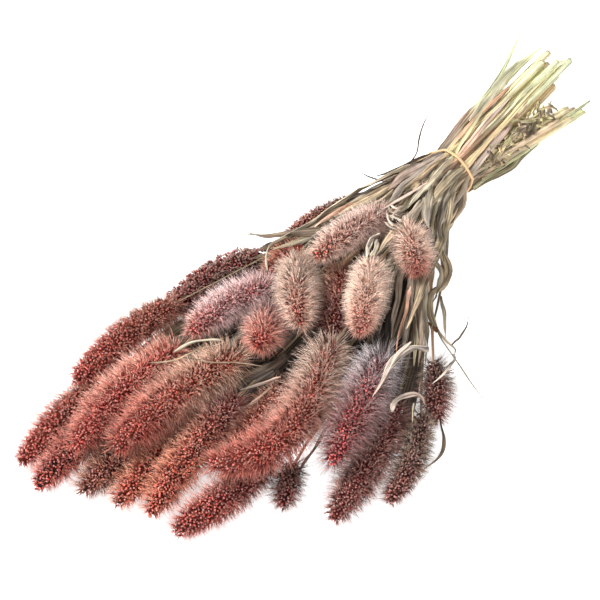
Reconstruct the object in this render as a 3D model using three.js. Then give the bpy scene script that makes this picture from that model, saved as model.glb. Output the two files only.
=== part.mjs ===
// A bunch of dried foxtail millet, tied with a rubber band and lying on a table.
//
// Every stalk is a straw stem that ends in one plump, bristly head. The stems run together through the
// band and fan out from it, so the heads pile up in two or three layers, and dry leaves hang between them.
// Millimetres, +Z up from the table top, +X from the heads towards the cut ends of the stems.
// The origin is under the middle of the bunch, on the table.

import * as THREE from 'three';

// Driving dimensions
const HEAD_RADIUS = 9.5; // grains with the roots of the bristles, which stand out further
const NECK_RADIUS = 1.5; // stem just below its head
const CUT_RADIUS = 2.7; // stem at its cut end, with the leaf sheath around it
const LEAF_HALF_THICKNESS = 0.7; // a dry blade with its curl
const LEAST_LEAF_HALF_WIDTH = 0.8; // at a blade's tip
const ROLLED_LEAF_RADIUS = 1.5; // a blade rolled up where the band holds it
const ROLLED_LEAF_SHARE = 0.16; // of its length
const LEAF_LEAN = 0.025; // how fast a blade's flat side turns outwards, for each millimetre off the middle
const MOST_LEAF_LEAN = 0.75;
const CLEARANCE = 0.8; // kept between neighbours while the bunch settles
const JOINT_GAP = 0.3; // between a stem and its head
const BAND_CENTRE = new THREE.Vector3(97, 21, 21);
const BAND_HALF_THICKNESS = 0.9;
const BAND_GAP = 0.4; // between the band and the outermost stems
const CUT_END_SPREAD = 1.15; // the stems open out again behind the band

// Before they are tied, the stems stand apart round the band's centre as their heads do round the middle
// of the pile: closer together sideways, and further apart in height.
const PILE_MIDDLE = { y: 5, z: 25 };
const UNTIED_SPREAD = { y: 0.5, z: 1.3 };

// Behind the band the stems part in two groups: a straight one runs on, and a low one splays out to the
// near side and down to the table. Each has the mean place of its cut ends, how far a rough cut scatters
// them along the bunch, and how far the group drifts sideways and up for each millimetre it runs.
const STRAIGHT_GROUP = { endX: 237, scatter: 9, drift: new THREE.Vector3(0, 0.01, 0.015) };
const LOW_GROUP = { endX: 190, scatter: 46, drift: new THREE.Vector3(0, -0.19, -0.03) };
const LOW_GROUP_DEPTH = 10; // how far below and in front of the band's centre a stem joins the low group
const SCATTER_TURN = 2.4; // radians from stem to stem, so that neighbours are cut at different lengths
const LEAF_ROOTS = { drift: new THREE.Vector3() }; // leaf roots follow the stems beside them

// How finely the solids are drawn
const HEAD_SIDES = 10;
const STEM_SIDES = 6;
const LEAF_SIDES = 6;
const FRAME_STEPS = 80; // along a line, to carry its rings round without a twist
const BAND_STEPS = 72;
const BAND_SIDES = 6;

// Each head runs from its tip, through one or more points, to its base, where its stem begins. A stem
// that doesn't take the short way goes via points, listed from the head to the band.
// The first heads lie on the table, the next ones rest on them, and the last ones lie on top.
const HEADS = [
  { tip: [-263, 84, 10], through: [[-215, 88, 10]], base: [-165, 84, 11] },
  { tip: [-270, 64, 10], through: [[-225, 66, 10]], base: [-172, 63, 11] },
  { tip: [-255, 41, 10], through: [[-210, 39, 10]], base: [-160, 35, 12] },
  { tip: [-249, 19, 10], through: [[-212, 20, 10]], base: [-165, 19, 11], radius: 9 },
  { tip: [-244, -3, 12], through: [[-209, 3, 17]], base: [-154, 6, 24] },
  { tip: [-190, -8, 11], through: [[-160, -10, 12]], base: [-122, -9, 15], radius: 8.5 },
  { tip: [-243, -21, 10], through: [[-207, -29, 10]], base: [-166, -31, 11] },
  { tip: [-189, -58, 8], through: [[-180, -53, 8.5]], base: [-165, -46, 11], radius: 7 },
  {
    tip: [-181, -88, 11],
    through: [[-140, -82, 12]],
    base: [-92, -69, 14],
    via: [[-51, -53, 17], [-15, -32, 20], [30, -6, 22], [68, 6, 21]],
  },
  {
    tip: [-149, -105, 8],
    through: [[-118, -100, 9]],
    base: [-86, -85, 10],
    radius: 7.5,
    via: [[-45, -58, 13], [-10, -35, 16], [30, -8, 17], [68, 5, 15]],
  },
  {
    tip: [-84, -93, 9],
    through: [[-69, -83, 11]],
    base: [-50, -68, 14],
    radius: 7,
    via: [[-23, -48, 18], [5, -30, 21], [56, -3, 22]],
  },
  { tip: [-129, 96, 12], through: [[-102, 93, 15], [-69, 87, 17]], base: [-44, 72, 19], radius: 10 },
  { tip: [-22, 74, 14], through: [[6, 68, 17]], base: [36, 50, 20], radius: 9 },

  { tip: [-205, 92, 26], through: [[-163, 91, 28]], base: [-121, 85, 29] },
  { tip: [-243, 55, 29], through: [[-200, 60, 30]], base: [-150, 57, 30] },
  { tip: [-229, 35, 30], through: [[-185, 33, 32]], base: [-132, 22, 32], radius: 10 },
  {
    tip: [-206, -16, 31],
    through: [[-188, -33, 33], [-163, -40, 34], [-136, -36, 34], [-110, -26, 33]],
    base: [-88, -18, 32],
    radius: 10,
  },
  {
    tip: [-160, -71, 30],
    through: [[-122, -61, 31]],
    base: [-75, -48, 30],
    radius: 10,
    via: [[-37, -34, 30], [3, -16, 30], [46, -2, 28]],
  },
  { tip: [-82, -10, 29], through: [[-58, 2, 29]], base: [-30, 18, 28], radius: 9 },
  { tip: [-80, 42, 24], through: [[-56, 50, 26]], base: [-30, 55, 27], radius: 8.5 },

  { tip: [-141, 52, 42], through: [[-110, 50, 41]], base: [-78, 41, 38], radius: 9 },
  { tip: [-125, 11, 46], through: [[-112, 18, 39]], base: [-92, 28, 28], radius: 9 },
  { tip: [-98, 0, 47], through: [[-80, 17, 48]], base: [-54, 37, 40] },
  { tip: [-49, 26, 50], through: [[-18, 23, 50]], base: [16, 17, 44], radius: 7 },
  { tip: [-82, -34, 51], through: [[-58, -20, 51]], base: [-30, -5, 46] },
  { tip: [-13, -28, 44], through: [[-3, -17, 47]], base: [9, -4, 46] },
];

// Each leaf runs from its root to its tip. The rooted ones start behind the band, which holds them.
const LEAVES = [
  {
    route: [[116, 30, 30], [60, 40, 35], [13, 49, 36], [-19, 60, 34], [-41, 79, 32], [-44, 87, 31]],
    halfWidth: 5,
    rooted: true,
  },
  {
    route: [[116, 26, 34], [70, 36, 40], [20, 48, 41], [-26, 57, 40], [-52, 65, 38], [-67, 52, 36]],
    halfWidth: 3,
    rooted: true,
  },
  {
    route: [
      [116, 8, 18], [56, -4, 24], [32, -16, 22], [8, -28, 20], [-9, -38, 16],
      [-22, -46, 13], [-26, -58, 9], [-33, -75, 6], [-41, -92, 4], [-46, -105, 3],
    ],
    halfWidth: 4.5,
    rooted: true,
  },
  {
    route: [[116, 12, 26], [60, -4, 32], [24, -22, 34], [-6, -30, 35], [-31, -40, 37], [-58, -51, 43]],
    halfWidth: 4,
    rooted: true,
  },
  {
    route: [
      [-34, -48, 26], [-52, -62, 34], [-62, -70, 42], [-70, -64, 47], [-88, -62, 48], [-108, -66, 46],
    ],
    halfWidth: 3.5,
  },
  { route: [[-64, -82, 4], [-78, -94, 4], [-88, -103, 4], [-98, -108, 4], [-116, -105, 3]], halfWidth: 2.5 },
  { route: [[108, 8, 7], [134, 1, 8], [184, -4, 10], [209, -8, 11], [236, -12, 12]], halfWidth: 5 },
];

// Settling: how often the pieces are eased into place, and how strongly
const EASING_ROUNDS = 260;
const CLEARING_ROUNDS = 200; // afterwards they only move clear of each other
const HEAD_PULL = 0.06;
const LEAF_PULL = 0.05;
const VIA_PULL = 0.05;
const SMOOTHING = 0.25; // of stems, which spring back towards straight lines
const SHAPED_SMOOTHING = 0.015; // of heads and leaves, which keep their own bends
const CUT_END_PULL = 0.2;
const CINCH = 0.08; // how strongly the band draws the stems together
const SAG_PER_ROUND = 0.03;
const PUSH_SHARE = 0.45; // of an overlap, taken up by each of two pieces in one round

const STEM_POINTS = 12; // from the head to the band
const CUT_POINTS = 4; // from the band to the cut end
const HEAD_POINTS = 9;
const LEAF_POINTS = 17;

const FINISHES = {
  head: { color: 0x8f3a33, roughness: 0.9 },
  stem: { color: 0xc9ad78, roughness: 0.6 },
  leaf: { color: 0x8a7d63, roughness: 0.8 },
  band: { color: 0xcfa468, roughness: 0.5 },
};

const vector = ([x, y, z]) => new THREE.Vector3(x, y, z);

// The share of a head's full radius at a share of its length, from its base to its tip.
const HEAD_PROFILE = [
  [0.0, 0.16], [0.05, 0.58], [0.13, 0.88], [0.28, 1.0], [0.5, 1.0],
  [0.7, 0.93], [0.85, 0.75], [0.94, 0.5], [0.985, 0.25],
];

function along(profile, share) {
  const next = profile.findIndex(([at]) => at >= share);
  if (next === -1) return profile.at(-1)[1];
  if (next === 0) return profile[0][1];
  const [a, low] = profile[next - 1];
  const [b, high] = profile[next];
  return THREE.MathUtils.lerp(low, high, (share - a) / (b - a));
}

// The share of a leaf's full width, from its root to its tip.
const LEAF_PROFILE = [[0.0, 0.5], [0.3, 0.75], [0.55, 1.0], [0.8, 0.75], [0.93, 0.4], [1.0, 0.2]];

function leafHalfWidth(leaf, share) {
  if (leaf.rooted && share < ROLLED_LEAF_SHARE) return ROLLED_LEAF_RADIUS;
  return Math.max(LEAST_LEAF_HALF_WIDTH, leaf.halfWidth * along(LEAF_PROFILE, share));
}

// A strand is a row of points with a radius at each, which the bunch settles as one flexible piece. Its
// goals are where the points would lie with nothing in the way, pulls say how firmly they are drawn there,
// and smoothing how strongly each is drawn between its neighbours. The point in the band is inBand.
function stalkStrand(head, index) {
  const base = vector(head.base);
  const line = new THREE.CatmullRomCurve3([base, ...head.through.map(vector).reverse(), vector(head.tip)]);
  const headPoints = line.getSpacedPoints(HEAD_POINTS - 1);
  const radius = head.radius ?? HEAD_RADIUS;

  const slot = new THREE.Vector3(
    BAND_CENTRE.x,
    BAND_CENTRE.y + (base.y - PILE_MIDDLE.y) * UNTIED_SPREAD.y,
    BAND_CENTRE.z + (base.z - PILE_MIDDLE.z) * UNTIED_SPREAD.z,
  );
  const outOfHead = headPoints[0].clone().sub(headPoints[1]).normalize();
  const reach = base.distanceTo(slot) / 3;
  const bandToHead = head.via
    ? new THREE.CatmullRomCurve3([slot, ...head.via.map(vector).reverse(), base])
    : new THREE.CubicBezierCurve3(
      slot,
      slot.clone().setX(slot.x - reach),
      base.clone().addScaledVector(outOfHead, reach),
      base,
    );
  const stem = bandToHead.getSpacedPoints(STEM_POINTS - 1).slice(0, -1);

  const low = slot.y + slot.z < BAND_CENTRE.y + BAND_CENTRE.z - LOW_GROUP_DEPTH;
  const group = low ? LOW_GROUP : STRAIGHT_GROUP;
  const endX = group.endX + group.scatter * Math.sin(index * SCATTER_TURN);
  const cutEnd = slot.clone().addScaledVector(group.drift, endX - slot.x).setX(endX);
  const behindBand = new THREE.LineCurve3(cutEnd, slot).getSpacedPoints(CUT_POINTS).slice(0, -1);

  const points = [...behindBand, ...stem, ...headPoints];
  const stemCount = behindBand.length + stem.length;
  const inHead = (i) => i >= stemCount;
  const onViaRoute = (i) => head.via && i > CUT_POINTS;
  return {
    points,
    stemCount,
    radius,
    group,
    inBand: CUT_POINTS,
    goals: points.map((point) => point.clone()),
    pulls: points.map((_, i) => (inHead(i) ? HEAD_PULL : onViaRoute(i) ? VIA_PULL : 0)),
    smoothing: points.map((_, i) => (inHead(i) ? SHAPED_SMOOTHING : SMOOTHING)),
    radii: points.map((_, i) =>
      inHead(i)
        ? Math.max(NECK_RADIUS, radius * along(HEAD_PROFILE, (i - stemCount) / (HEAD_POINTS - 1)))
        : THREE.MathUtils.lerp(CUT_RADIUS, NECK_RADIUS, i / stemCount),
    ),
  };
}

function leafStrand(leaf) {
  const points = new THREE.CatmullRomCurve3(leaf.route.map(vector)).getSpacedPoints(LEAF_POINTS - 1);
  const fromBand = points.map((point) => Math.abs(point.x - BAND_CENTRE.x));
  const inBand = leaf.rooted ? fromBand.indexOf(Math.min(...fromBand)) : null;
  const bundled = (i) => leaf.rooted && i <= inBand + 1; // it runs with the stems there
  return {
    points,
    inBand,
    group: leaf.rooted ? LEAF_ROOTS : null,
    goals: points.map((point) => point.clone()),
    pulls: points.map((_, i) => (bundled(i) ? 0 : LEAF_PULL)),
    smoothing: points.map((_, i) => (bundled(i) ? SMOOTHING : SHAPED_SMOOTHING)),
    radii: points.map((_, i) => leafHalfWidth(leaf, i / (LEAF_POINTS - 1))),
  };
}

// Eases one strand: heads and leaves towards their goals, stems into smooth lines, all into the band.
function ease({ points, goals, pulls, smoothing, inBand, group }) {
  points.forEach((point, i) => {
    point.lerp(goals[i], pulls[i]);
    if (i > 0 && i < points.length - 1 && i !== inBand) {
      const middle = points[i - 1].clone().add(points[i + 1]).multiplyScalar(0.5);
      point.lerp(middle, smoothing[i]);
    }
    if (!pulls[i]) point.z -= SAG_PER_ROUND;
  });
  if (!group) return;
  const tied = points[inBand];
  tied.lerp(BAND_CENTRE, CINCH);
  const root = points[0];
  const spread = tied.clone().sub(BAND_CENTRE).multiplyScalar(CUT_END_SPREAD).add(BAND_CENTRE);
  root.lerp(spread.addScaledVector(group.drift, root.x - BAND_CENTRE.x).setX(root.x), CUT_END_PULL);
}

// Where two segments come closest: the share along each of them.
function closest(a, b, c, d) {
  const u = b.clone().sub(a);
  const w = d.clone().sub(c);
  const gap = a.clone().sub(c);
  const uu = u.dot(u);
  const ww = w.dot(w);
  const uw = u.dot(w);
  const ug = u.dot(gap);
  const wg = w.dot(gap);
  const clamp = (share) => THREE.MathUtils.clamp(share, 0, 1);
  const parallel = uu * ww - uw * uw;
  const s = parallel > 1e-9 ? clamp((uw * wg - ww * ug) / parallel) : 0.5;
  const t = clamp((uw * s + wg) / ww);
  return [clamp((uw * t - ug) / uu), t];
}

// Pushes two segments of different strands apart where they come too close.
function separate(p, i, q, j) {
  const [a, b, c, d] = [p.points[i], p.points[i + 1], q.points[j], q.points[j + 1]];
  const thick = Math.max(p.radii[i], p.radii[i + 1]) + Math.max(q.radii[j], q.radii[j + 1]) + CLEARANCE;
  const dx = (a.x + b.x - c.x - d.x) / 2;
  const dy = (a.y + b.y - c.y - d.y) / 2;
  const dz = (a.z + b.z - c.z - d.z) / 2;
  const far = thick + p.halfStep + q.halfStep;
  if (dx * dx + dy * dy + dz * dz > far * far) return;
  const [s, t] = closest(a, b, c, d);
  const between = a.clone().lerp(b, s).sub(c.clone().lerp(d, t));
  const apart = between.length();
  const needed = THREE.MathUtils.lerp(p.radii[i], p.radii[i + 1], s)
    + THREE.MathUtils.lerp(q.radii[j], q.radii[j + 1], t) + CLEARANCE;
  if (apart >= needed || apart < 1e-6) return;
  between.multiplyScalar((PUSH_SHARE * (needed - apart)) / apart);
  a.addScaledVector(between, 1 - s);
  b.addScaledVector(between, s);
  c.addScaledVector(between, t - 1);
  d.addScaledVector(between, -t);
}

// Lets all the strands find room beside each other, on the table and inside the band.
function settle(strands) {
  for (let round = 0; round < EASING_ROUNDS + CLEARING_ROUNDS; round++) {
    for (const strand of strands) {
      if (round < EASING_ROUNDS) ease(strand);
      const steps = strand.points.slice(1).map((point, i) => point.distanceTo(strand.points[i]));
      strand.halfStep = Math.max(...steps) / 2;
    }
    strands.forEach((p, k) => {
      for (const q of strands.slice(k + 1)) {
        for (let i = 0; i < p.points.length - 1; i++) {
          for (let j = 0; j < q.points.length - 1; j++) separate(p, i, q, j);
        }
      }
    });
    for (const strand of strands) {
      strand.points.forEach((point, i) => {
        point.z = Math.max(point.z, strand.radii[i]);
      });
      if (strand.inBand !== null) strand.points[strand.inBand].x = BAND_CENTRE.x;
    }
  }
}

// A round solid along a line: rings holds [share of the length, half width, half thickness] rows.
// It is turned on a lathe about the Y axis first, and then bent ring by ring along the line.
function bentSolid(line, rings, sides, flatFacing = null) {
  const profile = [
    new THREE.Vector2(0, 0),
    ...rings.map((_, i) => new THREE.Vector2(1, i + 1)),
    new THREE.Vector2(0, rings.length + 1),
  ];
  const geometry = new THREE.LatheGeometry(profile, sides);
  geometry.deleteAttribute('normal');
  geometry.deleteAttribute('uv');
  const shares = [rings[0][0], ...rings.map(([share]) => share), rings.at(-1)[0]];
  const frames = line.computeFrenetFrames(FRAME_STEPS, false);
  const place = geometry.getAttribute('position');
  for (let i = 0; i < place.count; i++) {
    const row = Math.round(place.getY(i));
    const share = shares[row];
    const tangent = line.getTangentAt(share);
    const across = flatFacing
      ? flatFacing(line.getPointAt(share)).cross(tangent).normalize()
      : frames.normals[Math.round(share * FRAME_STEPS)].clone().projectOnPlane(tangent).normalize();
    const facing = tangent.clone().cross(across);
    const [, wide, thick] = rings[THREE.MathUtils.clamp(row - 1, 0, rings.length - 1)];
    const point = line.getPointAt(share)
      .addScaledVector(across, place.getX(i) * wide)
      .addScaledVector(facing, -place.getZ(i) * (thick ?? wide));
    place.setXYZ(i, point.x, point.y, point.z);
  }
  return geometry;
}

const material = (finish) => new THREE.MeshStandardMaterial({ ...finish, metalness: 0 });
const headMaterial = material(FINISHES.head);
const stemMaterial = material(FINISHES.stem);
const leafMaterial = material(FINISHES.leaf);
const bandMaterial = material(FINISHES.band);

// Where a strand's points lie on the smooth line through them, as shares of the line's length.
function pointShares(line, points) {
  const perStep = 20;
  const lengths = line.getLengths(perStep * (points.length - 1));
  return points.map((_, i) => lengths[perStep * i] / lengths.at(-1));
}

// A stalk is one line from its cut end to the tip of its head, so that stem and head meet squarely.
function headMesh(strand, name) {
  const line = new THREE.CatmullRomCurve3(strand.points);
  const neck = pointShares(line, strand.points)[strand.stemCount];
  const rings = HEAD_PROFILE.map(([share, width]) => [
    THREE.MathUtils.lerp(neck, 1, share),
    Math.max(NECK_RADIUS, strand.radius * width),
  ]);
  const mesh = new THREE.Mesh(bentSolid(line, rings, HEAD_SIDES), headMaterial);
  mesh.name = name;
  return mesh;
}

function stemMesh(strand, name) {
  const line = new THREE.CatmullRomCurve3(strand.points);
  const shares = pointShares(line, strand.points).slice(0, strand.stemCount + 1);
  shares[strand.stemCount] -= JOINT_GAP / line.getLength();
  const rings = shares.map((share, i) => [share, strand.radii[i]]);
  const mesh = new THREE.Mesh(bentSolid(line, rings, STEM_SIDES), stemMaterial);
  mesh.name = name;
  return mesh;
}

// A leaf's flat side faces up, and leans outwards on either side of the bunch.
function upAndOut(point) {
  const lean = THREE.MathUtils.clamp((point.y - BAND_CENTRE.y) * LEAF_LEAN, -MOST_LEAF_LEAN, MOST_LEAF_LEAN);
  return new THREE.Vector3(0, lean, 1).normalize();
}

function leafMesh(strand, name) {
  const line = new THREE.CatmullRomCurve3(strand.points);
  const rings = pointShares(line, strand.points).map((share, i) => {
    const wide = strand.radii[i];
    return [share, wide, Math.min(wide, LEAF_HALF_THICKNESS)];
  });
  const mesh = new THREE.Mesh(bentSolid(line, rings, LEAF_SIDES, upAndOut), leafMaterial);
  mesh.name = name;
  return mesh;
}

// How far a strand reaches from its middle where the band crosses it, which is more where it runs aslant.
function girth({ points, radii, inBand }) {
  const run = points[inBand + 1].clone().sub(points[inBand - 1]);
  const slope = Math.hypot(run.y, run.z) / Math.abs(run.x);
  return radii[inBand] * Math.hypot(1, slope) + BAND_HALF_THICKNESS * slope;
}

// The band is stretched round the outermost stems and leaves: at each angle it lies on the one that
// reaches furthest that way. It starts as a plain ring about the X axis, with a radius of 1.
function bandMesh(strands, name) {
  const held = strands
    .filter((strand) => strand.inBand !== null)
    .map((strand) => ({ middle: strand.points[strand.inBand], radius: girth(strand) }));
  const geometry = new THREE.TorusGeometry(1, BAND_HALF_THICKNESS, BAND_SIDES, BAND_STEPS);
  geometry.deleteAttribute('normal');
  geometry.deleteAttribute('uv');
  const place = geometry.getAttribute('position');
  for (let i = 0; i < place.count; i++) {
    const angle = Math.atan2(place.getY(i), place.getX(i));
    const outward = new THREE.Vector3(0, Math.cos(angle), Math.sin(angle));
    const reach = ({ middle, radius }) => middle.dot(outward) + radius;
    const outermost = held.reduce((best, next) => (reach(next) > reach(best) ? next : best));
    const inSection = Math.hypot(place.getX(i), place.getY(i)) - 1;
    const out = outermost.radius + BAND_GAP + BAND_HALF_THICKNESS + inSection;
    const point = outermost.middle.clone().addScaledVector(outward, out);
    place.setXYZ(i, BAND_CENTRE.x + place.getZ(i), point.y, point.z);
  }
  const mesh = new THREE.Mesh(geometry, bandMaterial);
  mesh.name = name;
  return mesh;
}

const stalks = HEADS.map(stalkStrand);
const leaves = LEAVES.map(leafStrand);
settle([...stalks, ...leaves]);

const number = (i) => String(i + 1).padStart(2, '0');
const bunch = new THREE.Group();
stalks.forEach((strand, i) => {
  bunch.add(headMesh(strand, `head_${number(i)}`));
  bunch.add(stemMesh(strand, `stem_${number(i)}`));
});
leaves.forEach((strand, i) => bunch.add(leafMesh(strand, `leaf_${number(i)}`)));
bunch.add(bandMesh([...stalks, ...leaves], 'rubber_band'));

// Brings the middle of the bunch over the origin, and its lowest point onto the table.
const box = new THREE.Box3().setFromObject(bunch, true);
const middle = box.getCenter(new THREE.Vector3());
bunch.position.set(-middle.x, -middle.y, -box.min.z);

export default bunch;
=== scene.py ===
# %% [markdown]
# # A bunch of dried foxtail millet
#
# The real thing is a tied bunch of grass: bristly red-dyed heads on straw stems, dry leaves between them
# and a rubber band. The CAD solids give the place and size of every stem, head and leaf, as plain tubes.
# Each tube is replaced here by a detailed mesh along the same line, so the looks change and the layout
# doesn't. Sizes are in millimetres until a mesh is made, and meshes are in metres.

# %% Load the frame
import math
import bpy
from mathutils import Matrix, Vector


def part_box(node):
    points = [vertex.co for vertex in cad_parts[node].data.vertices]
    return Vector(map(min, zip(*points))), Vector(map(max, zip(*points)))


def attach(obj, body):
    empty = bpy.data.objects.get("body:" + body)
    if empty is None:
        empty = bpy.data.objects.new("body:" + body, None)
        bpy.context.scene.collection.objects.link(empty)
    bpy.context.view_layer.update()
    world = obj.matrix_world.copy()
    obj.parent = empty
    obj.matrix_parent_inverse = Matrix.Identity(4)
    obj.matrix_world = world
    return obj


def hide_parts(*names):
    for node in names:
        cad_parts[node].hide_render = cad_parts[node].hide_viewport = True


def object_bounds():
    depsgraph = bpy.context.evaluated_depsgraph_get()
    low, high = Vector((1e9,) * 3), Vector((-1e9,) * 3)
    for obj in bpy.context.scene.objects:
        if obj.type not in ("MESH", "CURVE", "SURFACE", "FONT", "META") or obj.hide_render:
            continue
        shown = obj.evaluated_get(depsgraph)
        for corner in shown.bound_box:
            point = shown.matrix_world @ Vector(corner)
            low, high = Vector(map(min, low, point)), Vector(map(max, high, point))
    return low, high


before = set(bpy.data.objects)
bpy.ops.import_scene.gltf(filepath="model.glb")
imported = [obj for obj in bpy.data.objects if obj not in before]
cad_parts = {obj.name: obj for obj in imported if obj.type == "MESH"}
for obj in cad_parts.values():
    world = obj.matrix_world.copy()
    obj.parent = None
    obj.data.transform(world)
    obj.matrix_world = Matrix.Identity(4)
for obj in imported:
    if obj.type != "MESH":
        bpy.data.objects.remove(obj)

from types import SimpleNamespace

import bpy
import numpy as np
from mathutils import Vector
from mathutils.geometry import convex_hull_2d

MM = 0.001
TURN = 2 * math.pi
cad_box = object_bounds()
print("CAD box in mm:", [[round(x / MM, 1) for x in corner] for corner in cad_box])

# %% [markdown]
# ## Reading the lines of the bunch
#
# A CAD tube is a stack of rings with a single point at either end. The rings could be found by where they
# lie, but the tubes bend. Counting steps along the mesh's edges from an end point is sure: every ring is
# one step further away. The middle of each ring is then a point of the stem's, head's or leaf's own line.

# %% Rings of a tube
SAME_PLACE = 6  # digits after the point of a metre, to which two corners are one point


def rings_of(node):
    """The rings of a CAD tube, from one end to the other, as arrays of points."""
    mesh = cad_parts[node].data
    places = np.empty(3 * len(mesh.vertices))
    mesh.vertices.foreach_get("co", places)
    points, same = np.unique(places.reshape(-1, 3).round(SAME_PLACE), axis=0, return_inverse=True)
    same = same.ravel()
    neighbours = [set() for _ in points]
    for polygon in mesh.polygons:
        corners = [int(same[vertex]) for vertex in polygon.vertices]
        for corner in corners:
            neighbours[corner].update(corners)

    def levels_from(start):
        levels, seen = [[start]], {start}
        while levels[-1]:
            reached = sorted({n for v in levels[-1] for n in neighbours[v]} - seen)
            seen.update(reached)
            levels.append(reached)
        return levels[:-1]

    far_first = [v for level in reversed(levels_from(0)) for v in level]
    for end in far_first:
        levels = levels_from(end)
        if len(levels[-1]) == 1 and len({len(level) for level in levels[1:-1]}) == 1:
            return [points[level] / MM for level in levels[1:-1]]
    raise ValueError(f"{node} isn't a tube")


def line_of(node):
    """The middles of a tube's rings, and how far each ring reaches from its middle."""
    rings = rings_of(node)
    middles = np.array([ring.mean(0) for ring in rings])
    reach = np.array([np.linalg.norm(ring - ring.mean(0), axis=1).max() for ring in rings])
    return middles, reach


print("rings in stem_01 and head_01:", len(rings_of("stem_01")), "and", len(rings_of("head_01")))

# %% Smooth lines and the directions along them
CURVE_STEPS = 10  # points worked out for each one given


def unit(vectors):
    """The same directions with length 1."""
    return vectors / np.linalg.norm(vectors, axis=-1, keepdims=True)


def shares_of(points):
    """How far along the row each point lies, from 0 to 1."""
    steps = np.linalg.norm(np.diff(points, axis=0), axis=1)
    run = np.concatenate([[0], np.cumsum(steps)])
    return run / run[-1]


def resampled(points, count):
    """The same line with evenly spaced points."""
    shares, even = shares_of(points), np.linspace(0, 1, count)
    return np.stack([np.interp(even, shares, column) for column in points.T], 1)


def smooth_line(points, count):
    """Evenly spaced points on a Catmull-Rom curve through the given ones."""
    points = np.asarray(points, float)
    ends = np.vstack([2 * points[0] - points[1], points, 2 * points[-1] - points[-2]])
    at = np.linspace(0, len(points) - 1, CURVE_STEPS * len(points))
    first = np.minimum(at.astype(int), len(points) - 2)
    f = (at - first)[:, None]
    a, b, c, d = (ends[first + k] for k in range(4))
    slope = (c - a) / 2
    bend = a - 2.5 * b + 2 * c - d / 2
    turn = 1.5 * (b - c) + (d - a) / 2
    return resampled(b + f * slope + f ** 2 * bend + f ** 3 * turn, count)


def directions(line, facing):
    """Unit vectors at each point: along the line, to its side, and the facing direction made square."""
    along = unit(np.gradient(line, axis=0))
    side = unit(np.cross(facing, along))
    return along, side, np.cross(along, side)


def sample(values, share):
    """Rows of evenly spaced values, read off between them at any share from 0 to 1."""
    even = np.linspace(0, 1, len(values))
    if values.ndim == 1:
        return np.interp(share, even, values)
    return np.stack([np.interp(share, even, column) for column in values.T], -1)


print("five points on a curve:", smooth_line([(0, 0, 0), (1, 1, 0), (2, 0, 0)], 5).round(2).tolist())

# %% The lines of all stems and heads
UP = np.array([0.0, 0.0, 1.0])
TOWARDS_CUT_ENDS = np.array([1.0, 0.0, 0.0])
HEAD_COUNT = 26
HEAD_STEPS = 90
STEM_STEPS = 60
NUMBERS = range(1, HEAD_COUNT + 1)
TIP_ROUNDING = 0.8  # of the last ring's radius, by which a head's tip is drawn out
TIP_RADIUS = 0.2


def stem_line(number):
    """From the cut end, which lies furthest along +X, to the neck below the head."""
    middles, reach = line_of(f"stem_{number:02d}")
    if middles[0, 0] < middles[-1, 0]:
        middles, reach = middles[::-1], reach[::-1]
    even = np.linspace(0, 1, STEM_STEPS)
    radius = np.interp(even, shares_of(middles), reach)
    return SimpleNamespace(points=smooth_line(middles, STEM_STEPS), radius=radius)


def head_line(number, neck):
    """From the base, where the neck ends, to the tip, which is rounded off."""
    middles, reach = line_of(f"head_{number:02d}")
    if np.linalg.norm(middles[0] - neck) > np.linalg.norm(middles[-1] - neck):
        middles, reach = middles[::-1], reach[::-1]
    rounding = unit(middles[-1] - middles[-2]) * reach[-1] * TIP_ROUNDING
    middles = np.vstack([middles, middles[-1] + rounding])
    reach = np.append(reach, TIP_RADIUS)
    points = smooth_line(middles, HEAD_STEPS)
    radius = np.interp(np.linspace(0, 1, HEAD_STEPS), shares_of(middles), reach)
    length = np.linalg.norm(np.diff(points, axis=0), axis=1).sum()
    along, side, up = directions(points, UP)
    return SimpleNamespace(points=points, radius=radius, length=length, along=along, side=side, up=up)


stems = {number: stem_line(number) for number in NUMBERS}
heads = {number: head_line(number, stems[number].points[-1]) for number in NUMBERS}
print("head lengths in mm:", [round(head.length) for head in heads.values()])

# %% [markdown]
# ## Making meshes from arrays
#
# A head has thousands of grains and bristles. Particle hair or instances would make them quickly, but an
# exported model has neither, so they are real faces here. NumPy works out all their points at once and
# hands Blender one array, which takes a fraction of the time of adding faces one by one.

# %% One object from parts
FLOOR_CLEARANCE = 0.4  # bristles bend where they meet the table, and stay just above it


def part(points, faces, colours, finish=0, grain=None):
    """A part of a mesh: its points and faces, a colour for each point, the number of its material, and for
    each point how far it lies across and along its blade or straw."""
    points = np.asarray(points, float).reshape(-1, 3)
    colours = np.broadcast_to(colours, points.shape)
    grain = np.zeros_like(points) if grain is None else np.asarray(grain, float).reshape(-1, 3)
    return SimpleNamespace(points=points, faces=faces, colours=colours, finish=finish, grain=grain)


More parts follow.
